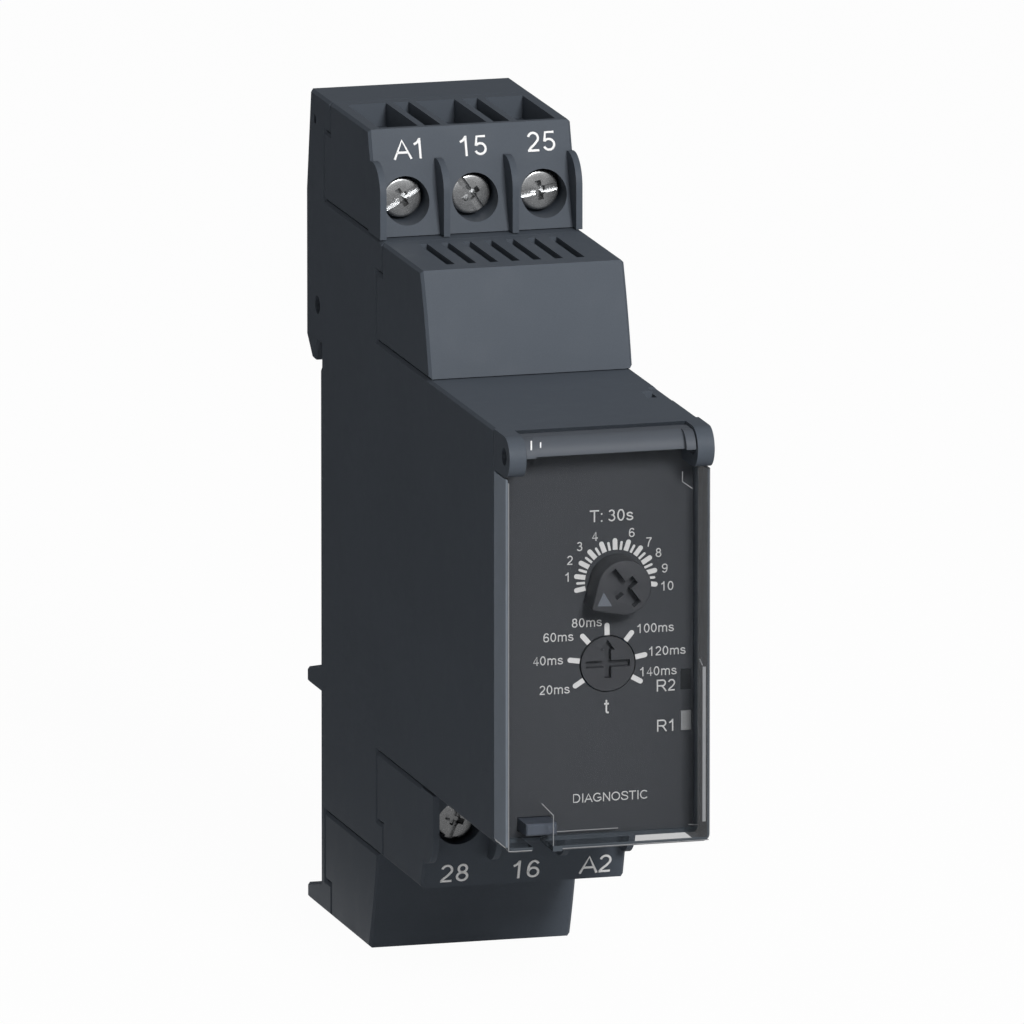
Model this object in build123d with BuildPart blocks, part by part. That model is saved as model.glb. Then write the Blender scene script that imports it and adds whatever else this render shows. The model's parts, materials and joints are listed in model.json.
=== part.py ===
from build123d import *
import os

os.makedirs("parts", exist_ok=True)

# Star-delta timer relay for a 35 mm rail. The origin is the centre of the rail seat:
# +X to the right, +Y to the rail, +Z up, so the dials face -Y. All sizes in millimetres.

# Housing
width = 22.5
height = 90.0
nose_height = 45.0
nose_reach = 70.4
wall = 1.2
seat_wall = 2.0
edge_break = 0.3

# Module places, two above the nose and two below it. Each is a step down from the one
# behind it, and its back edge has a jog that hooks under the housing.
place_back = 4.2
place_shift = 21.3
jog_reach = 2.5
jog_drop = 3.5
seam = 0.12

# Rail side
rail_height = 35.0
rail_lip = 1.0
rail_play = 0.1
hook_reach = 5.7
hook_lip_rise = 15.3
hook_lip_tip = 2.6
hook_lip_land = 0.7
hook_root = 1.1
hook_top_rise = 17.6
seat_relief = 0.5
top_lean = 1.8
side_hole_radius = 1.0
side_hole_setback = 1.1
side_hole_rise = 21.7
pin_hole_radius = 0.5
pin_hole_setback = 2.0
pin_hole_drop = 3.0
tooth_drop = 17.9
tooth_slope = 1.4
tooth_height = 3.1
foot_height = 3.0
foot_slope = 1.3
ear_width = 1.85

# Face of a module: it leans back towards the housing's ends
face_run = 15.7
face_lean = 3.5
cap_crown = 0.25

# Terminals
pole_share = 0.34
pole_count = 3
rise_share = 1 / 3
barrier_width = 0.7
barrier_reach = 1.4
barrier_straight = 4.7
barrier_tip = 7.9
funnel_width = 4.3
funnel_front = 14.9
funnel_back = 1.8
funnel_depth = 2.5
rib_slot_width = 1.75
rib_slot_depth = 2.6
pocket_width = 6.0
pocket_back = 1.3
pocket_front = 13.1
pocket_over = 0.15
wire_radius = 2.1
access_radius = 2.55

# Screw and clamp cage
head_radius = 2.2
head_height = 1.7
head_recess = 1.8
head_gap = 0.2
slot_width = 0.8
slot_depth = 0.9
cross_span = 2.6
shank_radius = 1.5
thread_clearance = 0.06
shank_clearance = 0.25
screw_lead = 0.5
screw_turns = 7
cage_width = 5.5
cage_wall = 0.8
cage_front_wall = 1.8
cage_floor_gap = 0.65
cage_gap = 0.3

# Contact bars: a flat leg in the cage and an arm to the main board
bar_width = 3.6
bar_thickness = 1.0
bar_setback = 6.3
bar_head_drop = 5.0
bar_clearance = 0.15
arm_height = 1.4
arm_pitch = 2.0

# Main board
board_thickness = 1.6
board_side_gap = 0.55
board_edge_drop = 1.15
board_rear_gap = 1.0

# Label holder's hole and bed on the nose's roof, at its right edge
tag_margin = 1.05
tag_setback = 12.6
tag_hole_width = 1.4
tag_hole_length = 3.3
tag_bed_length = 7.3
tag_bed_depth = 0.3

# Vents
vent_count = 7
vent_pitch = 2.4
vent_width = 0.9
vent_length = 11.3
vent_front = 13.1

# Hinge and cover
hinge_setout = 4.1
hinge_drop = 2.2
boss_radius = 2.2
pivot_radius = 0.9
pivot_clearance = 0.05
pivot_length = 1.5
cover_depth = 5.15
cover_wall = 1.05
cover_gap = 0.1
cover_corner = 0.8
barrel_radius = 2.0
notch_inset = 2.85
notch_width = 2.2
notch_height = 5.2
notch_corner = 1.2
notch_lining = 1.8

# Front plate
plate_thickness = 1.5
plate_clearance = 0.1
rim_wall = 0.45
sill_reach = 1.6

# Dials
time_dial_x = 2.15
time_dial_z = 5.25
time_dial_radius = 2.95
time_dial_proud = 3.6
selector_x = 1.25
selector_z = -3.65
selector_radius = 2.95
selector_proud = 0.15
dial_clearance = 0.15
dial_slot_width = 0.75
dial_slot_depth = 0.8
spindle_radius = 1.4
spindle_clearance = 0.05
time_pointer_angle = 37
pointer_reach = 4.5
pointer_thickness = 2.0
time_long_slot = 4.7
time_short_slot = 2.8
selector_long_slot = 4.85
selector_short_slot = 3.1
arrow_tip = 2.6
arrow_base = 1.5
arrow_width = 1.6

# Front board and what stands on it
front_gap = 5.2
front_board_gap = 0.25
pot_size = 9.0
pot_gap = 0.3
selector_pot_size = 7.4
header_length = 12.0
header_depth = 5.0
header_height = 2.5
board_meeting_gap = 0.3

# Test button: it stands out behind the cover's notch, and its foot works a push switch
button_inset = 4.4
button_rise = 1.95
button_width = 3.4
button_height = 1.3
button_proud = 3.1
button_travel = 0.8
button_clearance = 0.12
button_collar = 0.55
button_collar_thickness = 1.1
button_foot_height = 4.2
switch_size = 4.0
switch_height = 2.4
switch_rise = 2.0
plunger_radius = 0.9
plunger_proud = 0.9
plunger_clearance = 0.05

# Lamps
window_inset = 1.35
window_width = 1.1
window_height = 2.1
stem_width = 0.6
lamp_width = 1.1
window_rise = -5.8
window_step = 4.5
window_clearance = 0.05
lamp_height = 1.0
lamp_gap = 0.2

# Rail latch
latch_width = 12.8
latch_flange = 1.0
latch_flange_thickness = 2.4
latch_thickness = 3.8
latch_clearance = 0.15
latch_recess = 0.8
latch_bite = 1.5
latch_foot_gap = 0.4
latch_hook_land = 0.5
latch_ramp = 2.4
latch_slot_rise = 2.5
latch_slot_height = 1.6
guide_width = 1.4
guide_lip = 1.0
spring_radius = 1.3
spring_wire = 0.5
spring_turns = 5
spring_length = 8.0
spring_rise = -33.0
lug_height = 2.0
lug_width = 3.2
lug_proud = 1.9

# Parts on the main board. A place is (distance in front of the seat, height), and a
# capacitor is its place with its radius and its length.
standoff = 0.3
relay_length = 28.6
relay_width = 10.1
relay_height = 14.6
relay_rise = 6.0
relay_setback = 16.5
relay_step = 11.5
big_capacitor = (40.0, 10.5, 4.0, 12.0)
small_capacitor = (39.5, -3.0, 3.15, 11.0)
inductor_place = (50.5, 9.5)
inductor_radius = 4.6
inductor_core_radius = 2.2
inductor_height = 8.0
inductor_flange = 1.2
film_capacitor_place = (14.5, -20.0)
film_capacitor_size = (11.0, 6.0, 13.0)
varistor_place = (6.6, -20.0)
varistor_radius = 4.5
varistor_thickness = 3.6
chip_place = (51.5, -9.0)
chip_size = (1.6, 7.5, 10.3)
chip_pin_count = 8
chip_pin_pitch = 1.27

half_width = width / 2
half_height = height / 2
nose_top = nose_height / 2
place_step = (half_height - nose_top) / 2
inner_top = half_height - place_step
board_face = -(half_width - wall - board_side_gap) + board_thickness
plate_half_width = half_width - rim_wall
plate_half_height = nose_top - rim_wall
pole_pitch = pole_share * width
pole_places = [(n - (pole_count - 1) / 2) * pole_pitch for n in range(pole_count)]
screw_rise = rise_share * place_step
cage_height = 2 * (screw_rise - cage_floor_gap)
pocket_roof = place_step - 2 * screw_rise + pocket_over
notch_left = notch_inset - half_width
button_x = button_inset - half_width
button_z = button_rise - nose_top
window_x = half_width - window_inset
window_rises = (window_rise, window_rise - window_step)
relay_setbacks = (relay_setback, relay_setback + relay_step)
hinge_y = -nose_reach - hinge_setout
hinge_z = nose_top - hinge_drop
pivot_start = half_width - ear_width


def spot(row, side, back, drop):
    """A point (y, z) of a module place: back is the distance in front of the place's
    rear corner, drop the distance below its outer face. Row 0 is the outer place and
    row 1 the inner one; side is 1 above the nose and -1 below it."""
    y = -place_back - row * place_shift - back
    z = side * (half_height - row * place_step - drop)
    return (y, z)


def place_walls(side):
    """The housing's steps around both places, from the nose's top to the housing's end."""
    steps = [(-nose_reach, side * nose_top)]
    for row in (1, 0):
        steps.append(spot(row, side, -jog_reach, place_step))
        steps.append(spot(row, side, -jog_reach, jog_drop))
        steps.append(spot(row, side, 0, jog_drop))
        steps.append(spot(row, side, 0, 0))
    return steps


def module_outline(row, side, crown=0.0):
    """Side outline of a module, a seam smaller than its place where it meets the housing."""
    face_top = spot(row, side, face_run, 0)
    face_foot = spot(row, side, face_run + face_lean, place_step - seam)
    mid_drop = (place_step - seam) / 2
    face_mid = spot(row, side, face_run + face_lean / 2 + crown, mid_drop)
    rear = Polyline(
        face_foot,
        spot(row, side, -jog_reach + seam, place_step - seam),
        spot(row, side, -jog_reach + seam, jog_drop + seam),
        spot(row, side, seam, jog_drop + seam),
        spot(row, side, seam, 0),
        face_top,
    )
    if crown:
        ThreePointArc(face_top, face_mid, face_foot)
    else:
        Line(face_top, face_foot)
    return rear


# Housing
with BuildPart() as body_shell:
    with BuildSketch(Plane.YZ):
        with BuildLine():
            upper = place_walls(1)
            lower = place_walls(-1)
            Polyline(
                *upper,
                (hook_reach - top_lean, half_height),
                (hook_reach, inner_top),
                (hook_reach, hook_top_rise),
                (hook_lip_tip + hook_lip_land, hook_lip_rise),
                (hook_lip_tip, hook_lip_rise),
                (hook_root, rail_height / 2 + rail_play),
                (-seat_relief, rail_height / 2 + rail_play),
                (-seat_relief, hook_lip_rise),
                (0, hook_lip_rise - seat_relief),
                (0, -tooth_drop),
                (hook_reach, -tooth_drop - tooth_slope),
                (hook_reach, -tooth_drop - tooth_height),
                (0, -tooth_drop - tooth_height),
                (0, -half_height + foot_height),
                (hook_reach, -half_height + foot_height - foot_slope),
                (hook_reach, -half_height),
                *reversed(lower),
                close=True,
            )
        make_face()
    extrude(amount=half_width, both=True)
    chamfer(body_shell.faces().sort_by(Axis.X)[0].outer_wire().edges(), edge_break)
    chamfer(body_shell.faces().sort_by(Axis.X)[-1].outer_wire().edges(), edge_break)

    # The room inside, open at the nose's front
    with BuildSketch(Plane.YZ):
        with BuildLine():
            inner_jog = spot(1, 1, -jog_reach - wall, 0)[0]
            outer_jog = spot(0, 1, -jog_reach - wall, 0)[0]
            Polyline(
                (-nose_reach, nose_top - wall),
                (inner_jog, nose_top - wall),
                (inner_jog, inner_top - wall),
                (outer_jog, inner_top - wall),
                (outer_jog, half_height - wall),
                (hook_reach - top_lean - wall, half_height - wall),
                (hook_reach - wall, inner_top),
                (hook_reach - wall, hook_top_rise + wall),
                (-seat_wall, hook_top_rise + wall),
                (-seat_wall, -inner_top + wall),
                (inner_jog, -inner_top + wall),
                (inner_jog, -nose_top + wall),
                (-nose_reach, -nose_top + wall),
                close=True,
            )
        make_face()
    extrude(amount=half_width - wall, both=True, mode=Mode.SUBTRACT)

    # Seat of the front plate, a step wider than the room
    with BuildSketch(Plane.XZ.offset(nose_reach)):
        Rectangle(2 * plate_half_width, 2 * plate_half_height)
    extrude(amount=-plate_thickness, mode=Mode.SUBTRACT)

    # Hinge bosses and the sill between them
    with BuildSketch(Plane.YZ):
        with BuildLine():
            Polyline(
                (-nose_reach, hinge_z - boss_radius),
                (hinge_y, hinge_z - boss_radius),
            )
            ThreePointArc(
                (hinge_y, hinge_z - boss_radius),
                (hinge_y - boss_radius, hinge_z),
                (hinge_y, hinge_z + boss_radius),
            )
            Polyline(
                (hinge_y, hinge_z + boss_radius),
                (-nose_reach, hinge_z + boss_radius),
                (-nose_reach, hinge_z - boss_radius),
            )
        make_face()
    extrude(amount=half_width, both=True)
    with BuildSketch(Plane.YZ):
        with Locations((hinge_y, hinge_z)):
            Rectangle(2 * hinge_setout, 2 * boss_radius + wall)
        with BuildLine():
            Polyline(
                (-nose_reach, nose_top),
                (-nose_reach - sill_reach, nose_top),
                (-nose_reach, nose_top - sill_reach),
                close=True,
            )
        make_face(mode=Mode.SUBTRACT)
    extrude(amount=pivot_start, both=True, mode=Mode.SUBTRACT)
    with Locations(Plane.YZ):
        with Locations((hinge_y, hinge_z)):
            Cylinder(
                pivot_radius + pivot_clearance,
                width + wall,
                mode=Mode.SUBTRACT,
            )

    # Between the ears of the tooth and the foot the back is flat
    with BuildSketch(Plane.XZ.offset(-hook_reach)):
        low_middle = -(tooth_drop + half_height) / 2
        with Locations((0, low_middle)):
            Rectangle(2 * pivot_start, half_height - tooth_drop)
    extrude(amount=hook_reach, mode=Mode.SUBTRACT)

    # Track of the rail latch: a shallow bed between two lipped guides
    bed_half = latch_width / 2 + latch_flange + latch_clearance
    track_top = -(rail_height / 2) + latch_bite
    with BuildSketch(Plane.XZ):
        with Locations((0, (track_top - half_height) / 2)):
            Rectangle(2 * bed_half, half_height + track_top)
    extrude(amount=latch_recess, mode=Mode.SUBTRACT)
    guide_top = -tooth_drop - tooth_height
    guide_height = half_height + guide_top
    lip_bottom = latch_flange_thickness - latch_recess + 2 * latch_clearance
    for hand in (-1, 1):
        with BuildSketch(Plane.XY.offset(-half_height)):
            with BuildLine():
                Polyline(
                    (hand * (bed_half + guide_width), 0),
                    (hand * (bed_half + guide_width), lip_bottom + guide_lip),
                    (hand * (bed_half - guide_lip), lip_bottom + guide_lip),
                    (hand * (bed_half - guide_lip), lip_bottom),
                    (hand * bed_half, lip_bottom),
                    (hand * bed_half, 0),
                    close=True,
                )
            make_face()
        extrude(amount=guide_height)

    with Locations((0, (lug_proud - latch_recess) / 2, spring_rise - lug_height / 2)):
        Box(lug_width, lug_proud + latch_recess, lug_height)

    # Slots where the contact bars pass into the room
    for row, side in ((0, 1), (1, -1)):
        slot_y, slot_z = spot(row, side, bar_setback + bar_thickness / 2, place_step + wall / 2)
        with Locations(*[(x, slot_y, slot_z) for x in pole_places]):
            Box(
                bar_width + 2 * bar_clearance,
                bar_thickness + 2 * bar_clearance,
                2 * wall,
                mode=Mode.SUBTRACT,
            )

    # Vent in the nose's roof, under the slotted cap
    vent_y, vent_z = spot(1, 1, vent_front - vent_length / 2, place_step + wall / 2)
    with Locations((0, vent_y, vent_z)):
        Box(vent_count * vent_pitch, vent_length, 2 * wall, mode=Mode.SUBTRACT)

    # Fixing holes on the left side, and the label holder's hole and bed on the roof
    with Locations(Plane.YZ.offset(-half_width)):
        with Locations((pin_hole_setback, half_height - pin_hole_drop)):
            Cylinder(pin_hole_radius, 2 * wall, mode=Mode.SUBTRACT)
        with Locations((side_hole_setback, side_hole_rise)):
            Cylinder(side_hole_radius, 2 * wall, mode=Mode.SUBTRACT)
    tag_x = half_width - tag_margin - tag_hole_width / 2
    tag_y = -nose_reach + tag_setback
    with Locations((tag_x, tag_y, nose_top)):
        Box(tag_hole_width, tag_hole_length, 3 * wall, mode=Mode.SUBTRACT)
    with Locations((half_width, tag_y, nose_top)):
        Box(2 * tag_margin, tag_bed_length, 2 * tag_bed_depth, mode=Mode.SUBTRACT)
body_shell.part.label = "body_shell"
export_step(body_shell.part, "parts/body_shell.step")


def terminal_block(row, side):
    """Three-pole block: wire funnels in its end, screw access in its face."""
    cage_mid = place_step - screw_rise
    with BuildPart() as block:
        with BuildSketch(Plane.YZ):
            with BuildLine():
                module_outline(row, side)
            make_face()
        extrude(amount=half_width, both=True)
        chamfer(block.faces().sort_by(Axis.X)[0].outer_wire().edges(), edge_break)
        chamfer(block.faces().sort_by(Axis.X)[-1].outer_wire().edges(), edge_break)

        # Barriers, with rounded ends towards the marks
        foot = place_step - seam
        barrier_line = face_run + face_lean + barrier_reach
        inner_barriers = [(n - (pole_count - 2) / 2) * pole_pitch for n in range(pole_count - 1)]
        outer_barrier = half_width - barrier_width / 2
        for x in (-outer_barrier, *inner_barriers, outer_barrier):
            with BuildSketch(Plane.YZ.offset(x)):
                with BuildLine():
                    low = spot(row, side, barrier_line, foot)
                    shoulder = spot(row, side, barrier_line, foot - barrier_straight)
                    tip_drop = foot - barrier_tip
                    tip_back = face_run + face_lean * tip_drop / place_step
                    tip = spot(row, side, tip_back, tip_drop)
                    Polyline(low, shoulder)
                    TangentArc(shoulder, tip, tangent=(0, side))
                    Polyline(tip, spot(row, side, face_run, tip_drop))
                    Polyline(
                        spot(row, side, face_run, tip_drop),
                        spot(row, side, face_run, foot),
                        low,
                    )
                make_face()
            extrude(amount=barrier_width / 2, both=True)

        # Funnels, wire holes, and the slim slots between the funnels
        funnel_length = funnel_front - funnel_back
        funnel_mid = (funnel_front + funnel_back) / 2
        cage_inside = bar_setback + funnel_back
        for x in pole_places:
            y, z = spot(row, side, funnel_mid, funnel_depth / 2)
            with Locations((x, y, z)):
                Box(funnel_width, funnel_length, funnel_depth, mode=Mode.SUBTRACT)
            y, z = spot(row, side, cage_inside / 2 + seam, pocket_roof / 2)
            with Locations((x, y, z)):
                Cylinder(wire_radius, pocket_roof + seam, mode=Mode.SUBTRACT)
            y, z = spot(row, side, (pocket_back + pocket_front) / 2, (pocket_roof + place_step) / 2)
            with Locations((x, y, z)):
                Box(
                    pocket_width,
                    pocket_front - pocket_back,
                    place_step - pocket_roof,
                    mode=Mode.SUBTRACT,
                )
            z = spot(row, side, 0, cage_mid)[1]
            with BuildSketch(Plane.XZ.offset(place_back + row * place_shift + head_seat)):
                with Locations((x, z)):
                    Circle(access_radius)
            extrude(amount=face_run, mode=Mode.SUBTRACT)
            with BuildSketch(Plane.XZ.offset(place_back + row * place_shift + pocket_front)):
                with Locations((x, z)):
                    Circle(shank_radius + shank_clearance)
            extrude(amount=face_run / 2, mode=Mode.SUBTRACT)
        for x in inner_barriers:
            y, z = spot(row, side, funnel_mid, rib_slot_depth / 2)
            with Locations((x, y, z)):
                Box(rib_slot_width, funnel_length, rib_slot_depth, mode=Mode.SUBTRACT)
    return block


def blank_cap(row, side, vented):
    """Hollow cap that fills a place with no terminals."""
    with BuildPart() as cap:
        with BuildSketch(Plane.YZ):
            with BuildLine():
                module_outline(row, side, cap_crown)
            make_face()
        extrude(amount=half_width, both=True)
        chamfer(cap.faces().sort_by(Axis.X)[0].outer_wire().edges(), edge_break)
        chamfer(cap.faces().sort_by(Axis.X)[-1].outer_wire().edges(), edge_break)
        with BuildSketch(Plane.YZ):
            with BuildLine():
                lean = face_lean * wall / place_step
                Polyline(
                    spot(row, side, face_run + face_lean - wall, place_step),
                    spot(row, side, face_run + lean - wall, wall),
                    spot(row, side, wall + seam, wall),
                    spot(row, side, wall + seam, jog_drop + wall),
                    spot(row, side, wall - jog_reach, jog_drop + wall),
                    spot(row, side, wall - jog_reach, place_step),
                    close=True,
                )
            make_face()
        extrude(amount=half_width - wall, both=True, mode=Mode.SUBTRACT)
        if vented:
            y, z = spot(row, side, vent_front - vent_length / 2, wall / 2)
            with Locations((0, y, z)):
                with GridLocations(vent_pitch, 1, vent_count, 1):
                    Box(vent_width, vent_length, 2 * wall, mode=Mode.SUBTRACT)
    return cap


# Clamp measures, counted forwards from a place's rear corner
head_face = face_run + face_lean * (place_step - screw_rise) / place_step - head_recess
head_under = head_face - head_height
head_seat = head_under - head_gap
bar_front = bar_setback + bar_thickness
cage_travel = screw_lead * screw_turns
cage_rear = pocket_front - cage_travel - head_gap - cage_front_wall

upper_terminal_block = terminal_block(0, 1)
upper_terminal_block.part.label = "upper_terminal_block"
export_step(upper_terminal_block.part, "parts/upper_terminal_block.step")

lower_terminal_block = terminal_block(1, -1)
lower_terminal_block.part.label = "lower_terminal_block"
export_step(lower_terminal_block.part, "parts/lower_terminal_block.step")

vent_cap = blank_cap(1, 1, True)
vent_cap.part.label = "vent_cap"
export_step(vent_cap.part, "parts/vent_cap.step")

lower_blank_cap = blank_cap(0, -1, False)
lower_blank_cap.part.label = "lower_blank_cap"
export_step(lower_blank_cap.part, "parts/lower_blank_cap.step")

# Front plate, flush in the nose's mouth
with BuildPart() as front_plate:
    with BuildSketch(Plane.XZ.offset(nose_reach)):
        Rectangle(
            2 * (plate_half_width - plate_clearance),
            2 * (plate_half_height - plate_clearance),
        )
        with Locations((time_dial_x, time_dial_z)):
            Circle(spindle_radius + dial_clearance, mode=Mode.SUBTRACT)
        with Locations((selector_x, selector_z)):
            Circle(selector_radius + dial_clearance, mode=Mode.SUBTRACT)
        with Locations(*[(window_x, z) for z in window_rises]):
            Rectangle(
                window_width + 2 * window_clearance,
                window_height + 2 * window_clearance,
                mode=Mode.SUBTRACT,
            )
        with Locations((button_x, button_z)):
            Rectangle(
                button_width + 2 * button_clearance,
                button_height + 2 * button_clearance,
                mode=Mode.SUBTRACT,
            )
    extrude(amount=-plate_thickness)
front_plate.part.label = "front_plate"
export_step(front_plate.part, "parts/front_plate.step")

# Clear cover: a shallow tray whose top rolls over the hinge line between the bosses
cover_back = nose_reach + cover_gap
cover_front = cover_back + cover_depth
cover_shoulder = hinge_z - boss_radius - 2 * cover_gap
crown_z = hinge_z + barrel_radius - cover_gap
crown_half = pivot_start - cover_gap
crown_back = hinge_setout + nose_reach - barrel_radius - cover_gap
with BuildPart() as clear_cover:
    tray_height = cover_shoulder + nose_top
    tray_mid = (cover_shoulder - nose_top) / 2
    with BuildSketch(Plane.XZ.offset(cover_back)):
        with Locations((0, tray_mid)):
            Rectangle(width, tray_height)
    extrude(amount=cover_depth)
    long_edges = clear_cover.edges().filter_by(Axis.Y).group_by(Axis.Z)[0]
    front_edges = clear_cover.faces().sort_by(Axis.Y)[0].edges().sort_by(Axis.Z)[:-1]
    fillet(long_edges + front_edges, cover_corner)
    with BuildSketch(Plane.XZ.offset(cover_back)):
        with Locations((0, tray_mid + cover_wall)):
            Rectangle(width - 2 * cover_wall, tray_height)
    extrude(amount=cover_depth - cover_wall, mode=Mode.SUBTRACT)

    # Rolled top
    with BuildSketch(Plane.YZ):
        with BuildLine():
            Line((-cover_front, cover_shoulder), (-cover_front, crown_z - barrel_radius))
            TangentArc(
                (-cover_front, crown_z - barrel_radius),
                (-cover_front + barrel_radius, crown_z),
                tangent=(0, 1),
            )
            Polyline(
                (-cover_front + barrel_radius, crown_z),
                (-crown_back, crown_z),
                (-crown_back, crown_z - cover_wall),
                (-cover_front + barrel_radius, crown_z - cover_wall),
            )
            TangentArc(
                (-cover_front + barrel_radius, crown_z - cover_wall),
                (-cover_front + cover_wall, crown_z - barrel_radius),
                tangent=(-1, 0),
            )
            Polyline(
                (-cover_front + cover_wall, crown_z - barrel_radius),
                (-cover_front + cover_wall, cover_shoulder),
                (-cover_front, cover_shoulder),
            )
        make_face()
    extrude(amount=crown_half, both=True)

    # End webs with the pivots
    for hand in (-1, 1):
        with BuildSketch(Plane.YZ.offset(hand * (crown_half - cover_wall / 2))):
            with Locations((hinge_y, hinge_z)):
                Circle(barrel_radius - cover_gap)
        extrude(amount=cover_wall / 2, both=True)
        with BuildSketch(Plane.YZ.offset(hand * (crown_half + (pivot_length - cover_wall) / 2))):
            with Locations((hinge_y, hinge_z)):
                Circle(pivot_radius)
        extrude(amount=(pivot_length + cover_wall) / 2, both=True)

    # Notch over the test button, with a short lining that ends in front of the button
    steps = ((cover_wall, notch_lining, Mode.ADD), (0, cover_depth, Mode.SUBTRACT))
    for lining, depth, mode in steps:
        right = notch_left + notch_width + lining
        top = notch_height + lining - nose_top
        with BuildSketch(Plane.XZ.offset(cover_front)):
            with BuildLine():
                Polyline(
                    (notch_left, -nose_top),
                    (right, -nose_top),
                    (right, top - notch_corner),
                    (right - notch_corner, top),
                    (notch_left, top),
                    close=True,
                )
            make_face()
        extrude(amount=-depth, mode=mode)
clear_cover.part.label = "clear_cover"
export_step(clear_cover.part, "parts/clear_cover.step")

# Time dial: a tall round knob with a cross slot, its foot drawn out to a pointer
plate_back = nose_reach - plate_thickness
board_front = plate_back - front_gap
spindle_end = board_front + pot_gap
pointer_foot = time_dial_radius**2 / pointer_reach
pointer_half = (time_dial_radius**2 - pointer_foot**2) ** 0.5
with BuildPart() as time_knob:
    with BuildSketch(Plane.XZ.offset(nose_reach + dial_clearance)):
        with Locations((time_dial_x, time_dial_z)):
            Circle(time_dial_radius)
    extrude(amount=time_dial_proud - dial_clearance)
    chamfer(time_knob.faces().sort_by(Axis.Y)[0].edges(), edge_break)
    with BuildSketch(Plane.XZ.offset(nose_reach + dial_clearance)):
        with Locations(Location((time_dial_x, time_dial_z), time_pointer_angle)):
            Polygon(
                (0, 0),
                (-pointer_foot, pointer_half),
                (-pointer_reach, 0),
                (-pointer_foot, -pointer_half),
                align=None,
            )
    extrude(amount=pointer_thickness)
    with BuildSketch(Plane.XZ.offset(spindle_end)):
        with Locations((time_dial_x, time_dial_z)):
            Circle(spindle_radius)
    extrude(amount=nose_reach + dial_clearance - spindle_end)
    with BuildSketch(Plane.XZ.offset(nose_reach + time_dial_proud)):
        with Locations(Location((time_dial_x, time_dial_z), time_pointer_angle)):
            Rectangle(time_short_slot, dial_slot_width)
            Rectangle(dial_slot_width, time_long_slot)
    extrude(amount=-dial_slot_depth, mode=Mode.SUBTRACT)
time_knob.part.label = "time_knob"
export_step(time_knob.part, "parts/time_knob.step")

# Selector dial, level with the plate, its cross slot headed by an arrow
with BuildPart() as selector_knob:
    with BuildSketch(Plane.XZ.offset(plate_back)):
        with Locations((selector_x, selector_z)):
            Circle(selector_radius)
    extrude(amount=plate_thickness + selector_proud)
    with BuildSketch(Plane.XZ.offset(spindle_end)):
        with Locations((selector_x, selector_z)):
            Circle(spindle_radius)
    extrude(amount=plate_back - spindle_end)
    with BuildSketch(Plane.XZ.offset(nose_reach + selector_proud)):
        with Locations((selector_x, selector_z)):
            Rectangle(selector_long_slot, dial_slot_width)
            Rectangle(dial_slot_width, selector_short_slot)
            Polygon(
                (-arrow_width / 2, arrow_base),
                (arrow_width / 2, arrow_base),
                (0, arrow_tip),
                align=None,
            )
    extrude(amount=-dial_slot_depth, mode=Mode.SUBTRACT)
selector_knob.part.label = "selector_knob"
export_step(selector_knob.part, "parts/selector_knob.step")

# Test button, its switch and the switch's plunger
switch_front = board_front + switch_height
plunger_front = switch_front + plunger_proud
switch_z = button_z + switch_rise
with BuildPart() as test_button:
    with BuildSketch(Plane.XZ.offset(plate_back - pot_gap)):
        with Locations((button_x, button_z)):
            Rectangle(button_width, button_height)
    extrude(amount=plate_thickness + pot_gap + button_proud)
    chamfer(test_button.faces().sort_by(Axis.Y)[0].edges(), edge_break / 2)
    with BuildSketch(Plane.XZ.offset(plate_back - pot_gap - button_collar_thickness)):
        with Locations((button_x, button_z - button_height / 2)):
            Rectangle(
                button_width + 2 * button_collar,
                button_foot_height,
                align=(Align.CENTER, Align.MIN),
            )
    extrude(amount=button_collar_thickness)
    with BuildSketch(Plane.XZ.offset(plunger_front)):
        with Locations((button_x, switch_z)):
            Circle(plunger_radius)
    extrude(amount=plate_back - pot_gap - button_collar_thickness - plunger_front)
test_button.part.label = "test_button"
export_step(test_button.part, "parts/test_button.step")

with BuildPart() as push_switch:
    with BuildSketch(Plane.XZ.offset(board_front)):
        with Locations((button_x, switch_z)):
            Rectangle(switch_size, switch_size)
    extrude(amount=switch_height)
    with BuildSketch(Plane.XZ.offset(switch_front)):
        with Locations((button_x, switch_z)):
            Circle(plunger_radius + plunger_clearance)
    extrude(amount=-2 * button_travel - pot_gap, mode=Mode.SUBTRACT)
push_switch.part.label = "push_switch"
export_step(push_switch.part, "parts/push_switch.step")

with BuildPart() as switch_plunger:
    with BuildSketch(Plane.XZ.offset(switch_front - button_travel)):
        with Locations((button_x, switch_z)):
            Circle(plunger_radius)
    extrude(amount=button_travel + plunger_proud)
switch_plunger.part.label = "switch_plunger"
export_step(switch_plunger.part, "parts/switch_plunger.step")

# Front board, with the potentiometers, lamps and light guides
room_half_width = half_width - wall
room_half_height = nose_top - wall
with BuildPart() as front_board:
    with BuildSketch(Plane.XZ.offset(board_front)):
        Rectangle(
            2 * (room_half_width - front_board_gap),
            2 * (room_half_height - front_board_gap),
        )
    extrude(amount=-board_thickness)
front_board.part.label = "front_board"
export_step(front_board.part, "parts/front_board.step")

pots = (
    ("time_potentiometer", time_dial_x, time_dial_z, pot_size),
    ("selector_switch", selector_x, selector_z, selector_pot_size),
)
for name, x, z, size in pots:
    with BuildPart() as pot:
        with BuildSketch(Plane.XZ.offset(board_front)):
            with Locations((x, z)):
                RectangleRounded(size, size, edge_break)
        extrude(amount=front_gap - pot_gap)
        with BuildSketch(Plane.XZ.offset(plate_back)):
            with Locations((x, z)):
                Circle(spindle_radius + spindle_clearance)
        extrude(amount=spindle_end - plate_back, mode=Mode.SUBTRACT)
    pot.part.label = name
    export_step(pot.part, f"parts/{name}.step")

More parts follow.
